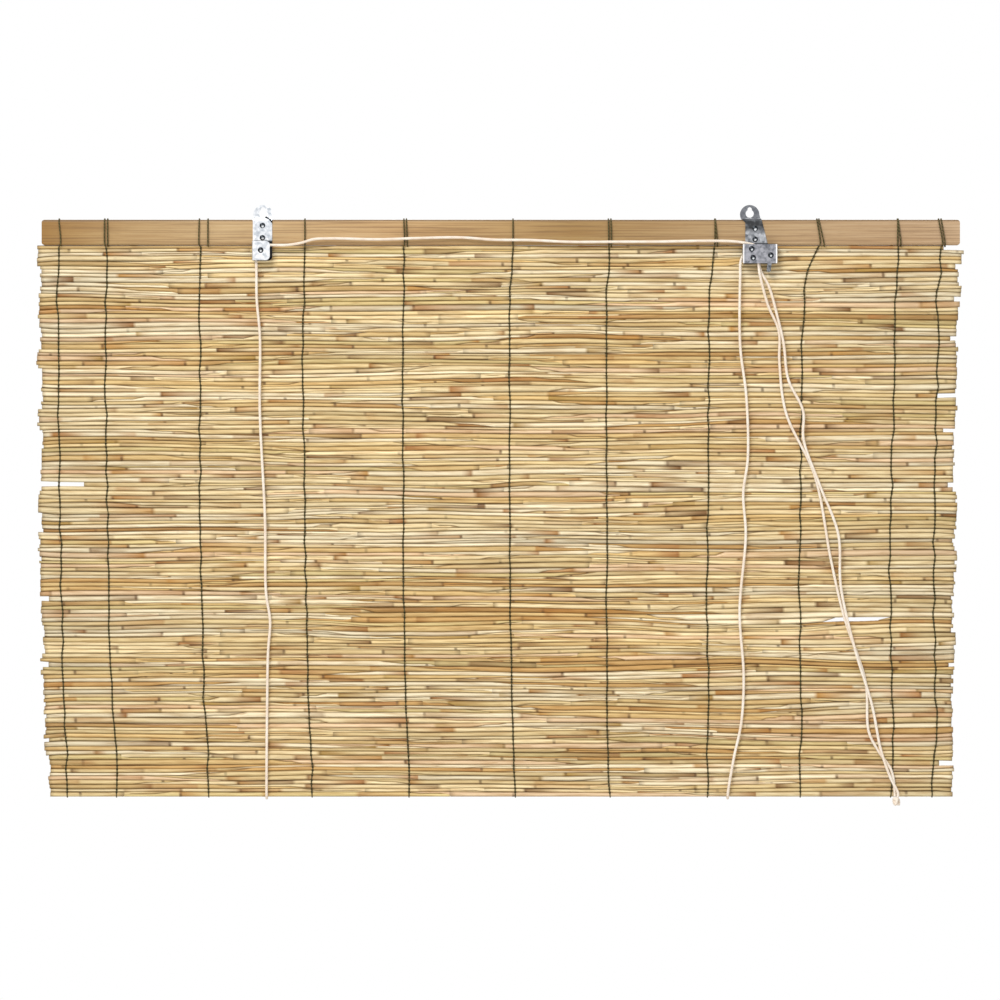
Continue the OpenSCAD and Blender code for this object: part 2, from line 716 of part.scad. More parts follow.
module pull_knot() {
  swell_r = (knot_h * knot_h / 4 + (knot_d - knot_end_d) * (knot_d - knot_end_d) / 4)
    / (knot_d - knot_end_d);
  color("#EFE6E0") translate([knot_at[0], knot_at[1], knot_at[2] - knot_h / 2]) rotate_extrude()
    intersection() {
      square_from_to(0, knot_d, -knot_h / 2, knot_h / 2);
      translate([knot_d / 2 - swell_r, 0]) circle(swell_r, $fn = 192);
    }
}

head_rail();
reed_mat();
for (i = [0:inner_threads + 1])
  binding_thread(i);
pulley_bracket();
pulley_wheel();
pulley_rivet();
pulley_bracket_screws();
lock_strap();
lock_cover();
lock_guide_roller();
lock_brake_post();
lock_cam();
lock_guide_rivet();
lock_brake_rivet();
lock_cam_rivet();
lock_strap_screws();
left_lift_cord();
right_lift_cord();
cord_staples();
pull_knot();
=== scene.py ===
"""Reed roll-up blind with a pulley bracket, a cord lock and laid lift cords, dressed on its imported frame."""

import json
import math
import random

import bpy
import numpy as np
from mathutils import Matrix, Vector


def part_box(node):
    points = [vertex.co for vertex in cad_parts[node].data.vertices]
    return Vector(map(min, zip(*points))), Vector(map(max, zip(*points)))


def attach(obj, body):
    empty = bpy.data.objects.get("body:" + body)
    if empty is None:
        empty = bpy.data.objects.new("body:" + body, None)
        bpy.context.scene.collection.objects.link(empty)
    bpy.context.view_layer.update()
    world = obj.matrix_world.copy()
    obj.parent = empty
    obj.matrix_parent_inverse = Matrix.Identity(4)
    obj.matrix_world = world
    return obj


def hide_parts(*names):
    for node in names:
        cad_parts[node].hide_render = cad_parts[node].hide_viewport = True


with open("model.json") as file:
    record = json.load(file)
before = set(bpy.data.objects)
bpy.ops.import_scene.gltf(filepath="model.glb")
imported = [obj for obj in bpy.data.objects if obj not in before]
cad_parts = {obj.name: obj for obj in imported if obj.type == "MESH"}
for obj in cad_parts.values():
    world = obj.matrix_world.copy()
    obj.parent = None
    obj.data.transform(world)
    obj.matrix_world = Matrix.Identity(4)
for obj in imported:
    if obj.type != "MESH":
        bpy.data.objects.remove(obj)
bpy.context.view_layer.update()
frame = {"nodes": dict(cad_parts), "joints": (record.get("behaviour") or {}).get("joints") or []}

# Camera: straight in front of the blind, far away, so that the rail and the mat's edges stay parallel.
# The picture is 1000 pixels wide and shows 980 mm at the rail's face, with the holes' midpoint above centre.
MM = 0.001
mm_per_pixel = 0.98
picture_pixels = 1000
holes_midpoint_pixel = (506.4, 213.0)
camera_distance = 5.0
sensor_mm = 36.0
rail_low, rail_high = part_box("head_rail")

view_width = picture_pixels * mm_per_pixel * MM
camera_data = bpy.data.cameras.new("camera")
camera_data.sensor_width = sensor_mm
camera_data.lens = sensor_mm * camera_distance / view_width
camera_data.clip_end = 50.0
camera = bpy.data.objects.new("camera", camera_data)
bpy.context.scene.collection.objects.link(camera)
camera.location = (
    (picture_pixels / 2 - holes_midpoint_pixel[0]) * mm_per_pixel * MM,
    rail_low.y - camera_distance,
    (holes_midpoint_pixel[1] - picture_pixels / 2) * mm_per_pixel * MM,
)
camera.rotation_euler = (math.pi / 2, 0, 0)
bpy.context.scene.camera = camera

# Lift cords: soft three-strand cotton cord, laid loosely, off-white with a pink cast.
# Each starts under a staple behind the rail, runs under the mat and up its face, and ends as a pull cord.
# The left one turns over the pulley and crosses to the lock. Both turn over the lock's guide roller.
cord_diameter = 2.7
solid_cord_diameter = 2.4
cord_strands = 3
cord_lay = 7.0
cord_ring_step = 1.1
cord_ring_sides = 12
strand_depth = 0.2
cord_clear = 0.1
below_mat = 0.5
below_rail_top = 7.5
left_cord_x = -235
right_cord_x = 217
pulley_pitch_r = 5.0
guide_pitch_r = 4.5
lane_offset = 1.55

mat_low, mat_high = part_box("reed_mat")
mat_y = (mat_low.y + mat_high.y) / 2 / MM
wrap_r = (rail_high.y - rail_low.y) / 2 / MM + solid_cord_diameter / 2 + cord_clear
wrap_z = mat_low.z / MM - below_mat + wrap_r - solid_cord_diameter / 2
cord_start_z = rail_high.z / MM - below_rail_top
joint_at = {joint["name"]: [v / MM for v in joint["pos_m"]] for joint in frame["joints"]}
knot_low, knot_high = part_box("pull_knot")
knot_top = [(knot_low.x + knot_high.x) / 2 / MM, (knot_low.y + knot_high.y) / 2 / MM, knot_high.z / MM]


def under_mat(x):
    """Half a turn under the lowest reed, from the back to the front."""
    turn = [math.radians(a) for a in range(0, -181, -36)]
    return [(x, mat_y + wrap_r * math.cos(a), wrap_z + wrap_r * math.sin(a)) for a in turn]


def round_wheel(centre, lane_y, radius, start, end):
    """Points over the top of a wheel, every 30 degrees, clockwise as seen from the front."""
    turn = [math.radians(a) for a in range(start, end - 1, -30)]
    return [(centre[0] + radius * math.cos(a), lane_y, centre[2] + radius * math.sin(a)) for a in turn]


def into_knot(dx, dy):
    """The last stretch of a pull cord drops straight onto the top of the knot."""
    return [(knot_top[0] + dx, knot_top[1] + dy, knot_top[2] + rise) for rise in (4, 0)]


left_route = (
    [(left_cord_x, mat_y + wrap_r, cord_start_z)]
    + under_mat(left_cord_x)
    + [(-234.5, -13.8, -490), (-233.5, -13.9, -430), (-231.5, -13.9, -400), (-235.5, -14, -372)]
    + [(-236.5, -14.2, -300), (-241.5, -14.5, -195), (-241.5, -15.2, -120), (-244.5, -15.8, -85)]
    + [(-244.8, -16.6, -55)]
    + round_wheel(joint_at["pulley_spin"], joint_at["pulley_spin"][1], pulley_pitch_r, 180, 90)
    + [(-214, -16.9, -31.5), (-201, -16.8, -29.5), (-189, -16.7, -26), (-172, -16.6, -25.2)]
    + [(-124, -16.4, -26), (-85, -16.3, -24.8), (-45, -16.2, -24.2), (-12, -16.2, -26.4)]
    + [(24, -16.3, -26.8), (62, -16.4, -28.5), (110, -16.5, -28.4), (150, -16.8, -28.3)]
    + [(190, -17.3, -27.6), (220, -18, -28), (232, -18.3, -29.3)]
    + round_wheel(joint_at["guide_spin"], joint_at["guide_spin"][1] - lane_offset, guide_pitch_r, 60, 0)
    + [(246, -18.5, -44), (248, -18.2, -60), (256, -16, -90), (267, -13, -116), (267.5, -12.9, -146)]
    + [(274, -12.9, -196), (302, -12.9, -257), (318, -12.9, -340), (331, -12.9, -396)]
    + [(352, -12.9, -460), (355, -12.9, -508), (365, -12.9, -528), (377, -12.9, -546)]
    + into_knot(-1.4, 1.3)
)
right_route = (
    [(right_cord_x, mat_y + wrap_r, cord_start_z)]
    + under_mat(right_cord_x)
    + [(223, -13.8, -533), (230, -13.8, -500), (232.5, -13.9, -455), (228.5, -13.9, -390)]
    + [(234.5, -14, -315), (232, -14, -275), (236.5, -14.2, -240), (235, -14.4, -180), (229, -14.8, -130)]
    + [(229, -15.2, -60), (229.4, -15.3, -48), (232, -15.3, -41.5)]
    + round_wheel(joint_at["guide_spin"], joint_at["guide_spin"][1] + lane_offset, guide_pitch_r, 150, 0)
    + [(246.2, -15.3, -44), (249.5, -15.4, -58), (257, -15.6, -72), (266, -15.6, -104)]
    + [(271.5, -15.6, -128), (276, -15.6, -163), (290.5, -15.6, -194), (291, -15.6, -222)]
    + [(307, -15.6, -267), (325, -15.6, -315), (327.5, -15.6, -366), (341.5, -15.6, -428)]
    + [(358, -15.6, -482), (366.5, -15.6, -525), (376, -15.6, -553)]
    + into_knot(1.4, -1.3)
)


def smooth_path(route, step, closed=False):
    """A smooth curve through the route's points, cut into equal steps. All in millimetres."""
    p = np.array(route, float)
    ends = (p[-1:], p[:2]) if closed else (2 * p[:1] - p[1:2], 2 * p[-1:] - p[-2:-1])
    p = np.vstack([ends[0], p, ends[1]])
    steps_between = 24
    fine = []
    for a, b, c, d in zip(p[:-3], p[1:-2], p[2:-1], p[3:]):
        knots = np.cumsum([0.0] + [math.sqrt(np.linalg.norm(v - u)) for u, v in ((a, b), (b, c), (c, d))])
        t = np.linspace(knots[1], knots[2], steps_between, endpoint=False)[:, None]
        t0, t1, t2, t3 = knots
        ab = (t1 - t) / (t1 - t0) * a + (t - t0) / (t1 - t0) * b
        bc = (t2 - t) / (t2 - t1) * b + (t - t1) / (t2 - t1) * c
        cd = (t3 - t) / (t3 - t2) * c + (t - t2) / (t3 - t2) * d
        abc = (t2 - t) / (t2 - t0) * ab + (t - t0) / (t2 - t0) * bc
        bcd = (t3 - t) / (t3 - t1) * bc + (t - t1) / (t3 - t1) * cd
        fine.append((t2 - t) / (t2 - t1) * abc + (t - t1) / (t2 - t1) * bcd)
    fine = np.vstack(fine + [p[-2:-1]])
    along = np.concatenate([[0.0], np.cumsum(np.linalg.norm(np.diff(fine, axis=0), axis=1))])
    even = np.linspace(0.0, along[-1], max(2, int(round(along[-1] / step)) + 1))
    return np.stack([np.interp(even, along, fine[:, k]) for k in range(3)], axis=1)


def tube_rings(path, radii, closed=False):
    """Rings of points round a path, free of twist. Each row of radii, in millimetres, is one ring."""
    if closed:
        path = path[:-1]
        tangent = np.roll(path, -1, axis=0) - np.roll(path, 1, axis=0)
    else:
        tangent = np.gradient(path, axis=0)
    tangent /= np.linalg.norm(tangent, axis=1)[:, None]
    angle = np.arange(radii.shape[1]) * 2 * math.pi / radii.shape[1]
    side = np.array([1.0, 0.02, 0.01])  # any direction off the path's first step
    rings = []
    for p, t, r in zip(path, tangent, radii):
        side = side - side.dot(t) * t
        side /= np.linalg.norm(side)
        up = np.cross(t, side)
        rings.append(p + r[:, None] * (np.cos(angle)[:, None] * side + np.sin(angle)[:, None] * up))
    return np.array(rings)


def ring_faces(rings, sides, first=0, closed=False):
    """Quads between neighbouring rings, with a cap at each end of an open tube."""
    i, k = np.meshgrid(np.arange(rings if closed else rings - 1), np.arange(sides), indexing="ij")
    a = first + i * sides + k
    b = first + i * sides + (k + 1) % sides
    c = first + (i + 1) % rings * sides + (k + 1) % sides
    d = first + (i + 1) % rings * sides + k
    faces = np.stack([a, b, c, d], axis=-1).reshape(-1, 4).tolist()
    if not closed:
        last = first + (rings - 1) * sides
        faces += [list(range(first + sides - 1, first - 1, -1)), list(range(last, last + sides))]
    return faces


def piece(name, points, faces, material, body, shades=None):
    """A smooth mesh piece from points in millimetres, which rides on a body and may carry named shades."""
    mesh = bpy.data.meshes.new(name)
    mesh.from_pydata((np.asarray(points).reshape(-1, 3) * MM).tolist(), [], faces)
    mesh.polygons.foreach_set("use_smooth", [True] * len(mesh.polygons))
    mesh.materials.append(material)
    for shade, values in (shades or {}).items():
        values = np.asarray(values, np.float32)
        if values.ndim == 2:
            tints = mesh.color_attributes.new(shade, "FLOAT_COLOR", "POINT")
            tints.data.foreach_set("color", values.ravel())
        else:
            mesh.attributes.new(shade, "FLOAT", "POINT").data.foreach_set("value", values)
    made = bpy.data.objects.new(name, mesh)
    bpy.context.scene.collection.objects.link(made)
    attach(made, body)
    return made


def linear(hex_colour):
    """An sRGB hex colour as linear red, green, blue and alpha."""
    parts = [int(hex_colour[i : i + 2], 16) / 255 for i in (1, 3, 5)]
    return [c / 12.92 if c <= 0.04045 else ((c + 0.055) / 1.055) ** 2.4 for c in parts] + [1.0]


def feed(tree, node, inputs):
    """Links or sets a shader node's inputs."""
    for key, value in inputs.items():
        if isinstance(value, bpy.types.NodeSocket):
            tree.links.new(value, node.inputs[key])
        else:
            node.inputs[key].default_value = value


def add(tree, kind, inputs=None, out=0, stops=(), **settings):
    """One shader node with its settings, inputs and ramp stops. Gives the output that is named."""
    made = tree.nodes.new("ShaderNode" + kind)
    for key, value in settings.items():
        setattr(made, key, value)
    feed(tree, made, inputs or {})
    for i, (place, colour) in enumerate(stops):
        element = made.color_ramp.elements[i] if i < 2 else made.color_ramp.elements.new(place)
        element.position = place
        element.color = linear(colour)
    return made.outputs[out]


def new_material(name):
    """A material with its node tree, its Principled shader and the object's own coordinates."""
    made = bpy.data.materials.new(name)
    made.use_nodes = True
    tree = made.node_tree
    return made, tree, tree.nodes["Principled BSDF"], add(tree, "TexCoord", out="Object")


def per_mm(*sizes):
    """Texture scale at which one patch has these sizes in millimetres."""
    return [1 / (size * MM) for size in sizes]


# Cotton, spun and laid in three strands: matt, a little fuzzy, with painted shade in the grooves between
# strands.
cotton, tree, shader, place = new_material("laid cotton cord")
fibres = add(tree, "TexNoise", {"Vector": place, "Scale": per_mm(0.35)[0], "Detail": 2.0})
stains = add(tree, "TexNoise", {"Vector": place, "Scale": per_mm(22)[0], "Detail": 1.0})
cotton_white = add(tree, "ValToRGB", {"Fac": stains}, stops=[(0.35, "#F8EFE1"), (0.62, "#F2E2CF")])
groove = add(tree, "Attribute", attribute_name="groove", out="Fac")
# The grooves between strands are painted darker, as shade.
shaded = add(tree, "Mix", {0: groove, 6: cotton_white, 7: linear("#C4A68A")}, 2, data_type="RGBA")
fuzz = add(tree, "Bump", {"Height": fibres, "Strength": 0.35, "Distance": 0.1 * MM})
feed(tree, shader, {"Base Color": shaded, "Normal": fuzz, "Roughness": 0.9, "Sheen Weight": 0.15})


def laid_cord(name, path, node, closed=False):
    """Three strands laid round a path, as one tube with winding grooves that carry painted shade."""
    along = np.arange(len(path) - closed)[:, None] * cord_ring_step
    angle = np.arange(cord_ring_sides)[None, :] * 2 * math.pi / cord_ring_sides
    hollows = 1 - np.abs(np.cos(cord_strands / 2 * (angle - 2 * math.pi * along / cord_lay)))
    radii = cord_diameter / 2 * (1 - strand_depth * hollows**2)
    rings = tube_rings(path, radii, closed)
    faces = ring_faces(len(rings), cord_ring_sides, closed=closed)
    made = piece(name, rings, faces, cotton, "blind", {"groove": (hollows**3).ravel()})
    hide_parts(node)
    return made


for cord_name, route in (("left_lift_cord", left_route), ("right_lift_cord", right_route)):
    path = smooth_path(route, cord_ring_step)
    laid_cord(cord_name + "_laid", path, cord_name)

# Pull knot: the two pull cords are tied together at their ends in one overhand knot.
# It is the same cotton, pulled tight into a round lump. Its route is a trefoil.
knot_turn_r = (knot_high.x - knot_low.x) / 2 / MM - cord_diameter / 2
knot_half_h = (knot_high.z - knot_low.z) / 2 / MM - cord_diameter / 2
knot_middle = (knot_top[0], knot_top[1], knot_top[2] - knot_half_h - cord_diameter / 2)
knot_steps = 36
knot_route = []
for i in range(knot_steps):
    t = 2 * math.pi * i / knot_steps
    knot_route.append((
        knot_middle[0] + knot_turn_r / 3 * (math.sin(t) + 2 * math.sin(2 * t)),
        knot_middle[1] + knot_turn_r / 3 * (math.cos(t) - 2 * math.cos(2 * t)),
        knot_middle[2] - knot_half_h * math.sin(3 * t),
    ))
knot_path = smooth_path(knot_route, cord_ring_step, closed=True)
pull_knot = laid_cord("pull_knot_tied", knot_path, "pull_knot", closed=True)

# Head rail: one planed batten of pale wood, left raw, with its long edges eased.
# It carries the mat's threads, and both brackets are folded over it and screwed to its face.

# Planed wood: satin, with long grain streaks and fine open pores. It is brown at its left end, gold in its
# first third, brown again past the middle, greyer to the right, and darker where its faces turn upward.
rail_wood, tree, shader, place = new_material("planed pale wood")
# Each pattern has its size in mm along, through and up the rail, then its detail and its distortion.
patches = {
    "bands": ((190, 20, 18), 2.0, 0.6),
    "streaks": ((110, 2.5, 1.5), 3.0, 0.3),
    "pores": ((14, 0.8, 0.5), 1.0, 0.0),
}
rail_noise = {}
for name, (sizes_mm, detail, distortion) in patches.items():
    drawn_out = add(tree, "Mapping", {"Vector": place, "Scale": per_mm(*sizes_mm)})
    settings = {"Vector": drawn_out, "Scale": 1.0, "Detail": detail, "Distortion": distortion}
    rail_noise[name] = add(tree, "TexNoise", settings)
along_rail = add(tree, "SeparateXYZ", {"Vector": place}, "X")
to_right = add(tree, "MapRange", {"Value": along_rail, "From Min": rail_low.x, "From Max": rail_high.x})
tone = add(
    tree,
    "ValToRGB",
    {"Fac": to_right},
    stops=[(0.0, "#997437"), (0.2, "#CDB48A"), (0.38, "#CAAA7C"), (0.58, "#A98B56"), (1.0, "#C9B091")],
)
banding = add(tree, "ValToRGB", {"Fac": rail_noise["bands"]}, stops=[(0.3, "#C9B08A"), (0.7, "#FFFFFF")])
base = add(tree, "Mix", {0: 0.5, 6: tone, 7: banding}, 2, data_type="RGBA", blend_type="MULTIPLY")
grain = add(
    tree,
    "ValToRGB",
    {"Fac": rail_noise["streaks"]},
    stops=[(0.32, "#8C6A3C"), (0.5, "#F0E2CC"), (0.66, "#FFFFFF")],
)
grained = add(tree, "Mix", {0: 0.55, 6: base, 7: grain}, 2, data_type="RGBA", blend_type="MULTIPLY")
open_pores = add(
    tree, "MapRange", {"Value": rail_noise["pores"], "From Min": 0.62, "From Max": 0.75, "To Max": 0.35}
)
porous = add(tree, "Mix", {0: open_pores, 6: grained, 7: linear("#6E4E28")}, 2, data_type="RGBA")
# Faces that turn upward are darker.
facing = add(tree, "SeparateXYZ", {"Vector": add(tree, "TexCoord", out="Normal")}, "Z")
darker_upward = add(tree, "MapRange", {"Value": facing, "From Min": 0.1, "From Max": 0.6, "To Max": 0.8})
planed = add(tree, "Mix", {0: darker_upward, 6: porous, 7: linear("#6B4F2A")}, 2, data_type="RGBA")
relief = add(tree, "Bump", {"Height": rail_noise["streaks"], "Strength": 0.25, "Distance": 0.2 * MM})
feed(tree, shader, {"Base Color": planed, "Normal": relief, "Roughness": 0.55, "IOR": 1.5})


def finish_node(node, material):
    """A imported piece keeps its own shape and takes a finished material."""
    mesh = frame["nodes"][node].data
    mesh.materials.clear()
    mesh.materials.append(material)


finish_node("head_rail", rail_wood)

# Reed mat: common reeds, whole and split, lying across, with several reeds lapped end to end in each row.
# A reed ends in a blunt cut or a thin brown tip, and shares its row's height with the next one over the lap.
# The rows press on each other, so the lines between them wander, and painted shade with some dirt darkens
# those lines unevenly.
rows = 135
row_h = (mat_high.z - mat_low.z) / rows / MM
block_rows = 9
reed_sides = 10
ring_step = 10.0
press = 1.04
thin_end = 0.14
bore_depth = 2.0
slit_row = 91
slit_ends = (313.0, 374.0)
slit_tip = 12.0
slit_overlap = 9
grid_step = 4.0
grid_margin = 10
grid_x = np.arange(mat_low.x / MM - grid_margin, mat_high.x / MM + grid_margin, grid_step)
draw = random.Random(41)

# Sizes of single reeds in mm: thickness, laps, the stretch between two laps, and the places of their joints.
reed_thick = 4.0
reed_spread = 0.85
reed_limits = (2.4, 6.0)
short_lap = (20, 60)
long_lap = (40, 150)
solo_length = (50, 280)
last_reed = 60
first_joint = (10, 140)
joint_gap = (35, 170)
joint_from_end = 6
# In a lap: the share of the row that one reed takes, the share of the lap that a thin tip takes, the length
# in mm over which a reed makes room for a blunt end, and the length of that end's own step.
lap_share = (0.34, 0.66)
lap_taper = (0.2, 0.45)
lap_room = 8
blunt_step = 0.1

mat_points = np.array([v.co for v in frame["nodes"]["reed_mat"].data.vertices]) / MM
row_middles = mat_high.z / MM - (np.arange(rows) + 0.5) * row_h
row_ends = []
for middle in row_middles:
    x = mat_points[np.abs(mat_points[:, 2] - middle) < 0.3 * row_h][:, 0]
    row_ends.append((x.min(), x.max()))

skin_tints = ["#F5E7C4", "#F1DDAE", "#E7CF99", "#DCBD81", "#CAA264", "#EACCA4", "#DAC58B", "#B48A4D"]
skin_shares = [24, 25, 21, 12, 5, 8, 4, 1]
stain_tints = ["#B47E38", "#A06C2E", "#C39048", "#825824", "#B08C42", "#B98248"]
stain_odds = 0.75
stain_edge = (1, 5)
short_stain = (8, 35)
long_stain = (25, 80)
tip_tint = np.array(linear("#7A5628"))
tip_reach = 22.0
joint_and_shadow_tint = np.array(linear("#5E4220"))
joint_strengths = (0.0, 0.15, 0.45, 0.8)
joint_half = 1.4
# The bore of a cut end is painted dark, as the shade inside it.
bore_shade_tint = np.array(linear("#5A4022"))
# The ends at the mat's edges are darker at their rims. A blunt end within a row casts a painted shadow on the
# reed that goes on beyond it.
cut_reach = 1.5
beyond_reach = 6
beyond_shade = (0.2, 0.6)
# The mat is painted a little darker towards both edges, as the light falls off there. The painted shade and
# dirt in the lines between rows take more blue than red.
edge_falloff = 0.12
edge_reach = 150
shade_and_dirt_bite = np.array([0.82, 0.89, 0.97, 0.0])


class Reed:
    """One reed: its ends, how it shares its row with the reeds that it laps, and its looks."""

    def __init__(self, row, start, end):
        self.row, self.start, self.end = row, start, end
        self.share_at = []
        self.above = [True, True]
        self.tips = [0.0, 0.0]
        self.lapped = [False, False]
        self.turnover = (start + end) / 2
        self.beyond = []
        self.thick = min(reed_limits[1], max(reed_limits[0], draw.gauss(reed_thick, reed_spread)))
        self.lean = draw.uniform(-0.3, 0.3)
        self.depth = draw.uniform(-0.3, 0.3)
        self.inner_line = draw.uniform(0.35, 0.8)
        self.skin = np.array(linear(draw.choices(skin_tints, skin_shares)[0])) * draw.gauss(1, 0.07)
        self.fade = draw.uniform(-0.12, 0.12)
        self.joints, self.stains = [], []
        x = start + draw.uniform(*first_joint)
        while x < end - joint_from_end:
            self.joints.append((x, draw.choice(joint_strengths), draw.uniform(-1.2, 1.2)))
            if draw.random() < stain_odds:
                tint = np.array(linear(draw.choice(stain_tints)))
                soft = draw.uniform(*stain_edge)
                fade = draw.choice((draw.uniform(*short_stain), draw.uniform(*long_stain)))
                self.stains.append((x, draw.choice((-1, 1)), (soft, fade), draw.uniform(0.3, 1.0), tint))
            x += draw.uniform(*joint_gap)

    def share(self, x):
        """How much of the row's height this reed takes at x, from 0 to 1."""
        places, shares = zip(*self.share_at)
        return np.interp(x, places, shares)


def lapped_spans(start, end):
    """The ends of the reeds that fill one row from start to end, each lapping the next."""
    spans, x, lap_in = [], start, 0.0
    while True:
        lap = draw.choice((draw.uniform(*short_lap), draw.uniform(*long_lap)))
        stop = x + lap_in + draw.uniform(*solo_length) + lap
        if stop > end - last_reed:
            return spans + [(x, end)]
        spans.append((x, stop))
        x, lap_in = stop - lap, lap


def reeds_of_row(row):
    """The reeds of one row, with a break where the slit is."""
    first, last = row_ends[row]
    stretches = [(first, last)]
    if row == slit_row:
        stretches = [(first, slit_ends[0] + slit_overlap), (slit_ends[1] - slit_overlap, last)]
    made = []
    for stretch in stretches:
        line = [Reed(row, *span) for span in lapped_spans(*stretch)]
        line[0].share_at.append((line[0].start, 1.0))
        for reed, following in zip(line[:-1], line[1:]):
            begin, stop = following.start, reed.end
            part = draw.uniform(*lap_share)
            taper = [draw.uniform(*lap_taper) * (stop - begin) for _ in range(2)]
            tip_in, tip_out = (draw.choice((0.0, reach, reach)) for reach in taper)
            reed.tips[1], following.tips[0] = tip_out, tip_in
            reed.lapped[1] = following.lapped[0] = True
            reed.above[1] = draw.random() < 0.5
            following.above[0] = not reed.above[1]
            solo_from = reed.share_at[-1][0]
            reed.turnover = (solo_from + begin) / 2
            reed.share_at += [(begin - 1, 1.0), (begin + max(tip_in, lap_room), part)]
            reed.share_at += [(stop - max(tip_out, blunt_step), part)]
            reed.share_at += [(stop, thin_end if tip_out else part)]
            rest = 1 - part
            following.share_at += [(begin, thin_end if tip_in else rest)]
            following.share_at += [(begin + max(tip_in, blunt_step), rest)]
            following.share_at += [(stop - max(tip_out, lap_room), rest), (stop + 1, 1.0)]
            if not tip_out:
                following.beyond.append((stop, 1, draw.uniform(*beyond_shade)))
            if not tip_in:
                reed.beyond.append((begin, -1, draw.uniform(*beyond_shade)))
        line[-1].turnover = (line[-1].share_at[-1][0] + line[-1].end) / 2
        line[-1].share_at.append((line[-1].end, 1.0))
        made += line
        if row == slit_row and stretch is stretches[0]:
            line[-1].tips[1], line[-1].above[1] = slit_tip, True
            line[-1].share_at[-1:] = [(line[-1].end - slit_tip, 1.0), (line[-1].end, thin_end)]
        elif row == slit_row:
            line[0].tips[0], line[0].above[0] = slit_tip, False
            line[0].share_at[:1] = [(line[0].start, thin_end), (line[0].start + slit_tip, 1.0)]
    return made


reeds = [reed for row in range(rows) for reed in reeds_of_row(row)]

# The reeds were cut by hand, so each blunt end past an edge thread falls a little short of its row's end.
end_fray = 2.2
edge_threads = (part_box("binding_thread_01")[0].x / MM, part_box("binding_thread_11")[1].x / MM)
cut = random.Random(7)
for reed in reeds:
    if not reed.lapped[0] and not reed.tips[0] and reed.start < edge_threads[0] - end_fray:
        reed.start += cut.uniform(0, end_fray)
    if not reed.lapped[1] and not reed.tips[1] and reed.end > edge_threads[1] + end_fray:
        reed.end -= cut.uniform(0, end_fray)

# The height of every row at every place along the mat, pressed to fill the mat block by block.
lean_length = 200
row_limits = (2.1, 6.2)
no_reed = 0.5
smooth_steps = 9
heights = np.zeros((rows, len(grid_x)))
for reed in reeds:
    share = np.where((grid_x >= reed.start) & (grid_x <= reed.end), reed.share(grid_x), 0)
    middle = (reed.start + reed.end) / 2
    heights[reed.row] += share * reed.thick * (1 + reed.lean * (grid_x - middle) / lean_length)
heights = np.clip(np.where(heights < no_reed, row_h, heights), *row_limits)
kernel = np.ones(smooth_steps) / smooth_steps
heights = np.array([np.convolve(np.pad(h, smooth_steps // 2, "edge"), kernel, "valid") for h in heights])
for block in range(0, rows, block_rows):
    part = heights[block : block + block_rows]
    part *= block_rows * row_h / part.sum(axis=0)
tops = mat_high.z / MM - np.vstack([np.zeros(len(grid_x)), np.cumsum(heights, axis=0)])

# Slow waves along the mat, alike in neighbouring rows, and loose ends that splay past the edge threads.
wave_amplitude = 0.75
wave_count = 7
wave_length = (260, 700)
wave_rise = (30, 90)
edge_splay = 0.9
splay_reach = (22, 24)
splay_limit = 1.2
inside = np.sin(np.pi * np.clip((mat_high.z / MM - tops) / (rows * row_h), 0, 1)) ** 0.3
for _ in range(wave_count):
    length_x, length_z = draw.uniform(*wave_length), draw.uniform(*wave_rise)
    phase, weight = draw.uniform(0, 2 * math.pi), draw.uniform(0.5, 1.0)
    wave = np.sin(2 * math.pi * (grid_x / length_x + tops / length_z) + phase)
    tops += wave_amplitude * weight / 2 * inside * wave
past_left = np.clip((edge_threads[0] - grid_x) / splay_reach[0], 0, splay_limit)
past_right = np.clip((grid_x - edge_threads[1]) / splay_reach[1], 0, splay_limit)
for row in range(1, rows):
    tops[row] += past_left * draw.uniform(-edge_splay, edge_splay)
    tops[row] += past_right * draw.uniform(-edge_splay, edge_splay)

# How dark the painted shade, with some dirt, in the line between two rows is: most lines are faint, and above
# 1 a stretch is wide and deep.
line_step = 35.0
line_darkness = (0.25, 0.45, 0.7, 1.0, 1.8)
line_shares = (22, 28, 25, 17, 8)
line_x = np.arange(grid_x[0], grid_x[-1] + 2 * line_step, line_step)
line_depths = []
for _ in range(rows + 1):
    depths = draw.choices(line_darkness, line_shares, k=len(line_x))
    line_depths.append(np.convolve(np.pad(depths, 1, "edge"), (0.2, 0.6, 0.2), "valid"))

part_names = ("top", "upper", "lower", "foot")
mat_parts = [{"points": [], "faces": [], "tints": [], "count": 0} for _ in part_names]
ring_angle = math.pi / 2 + np.arange(reed_sides) * 2 * math.pi / reed_sides
on_top = np.clip(np.sin(ring_angle), 0, 1)
below = np.clip(-np.sin(ring_angle), 0, 1)


def towards(colour, tint, amount):
    """Blends an array of colours towards one tint."""
    return colour * (1 - amount[..., None]) + tint * amount[..., None]


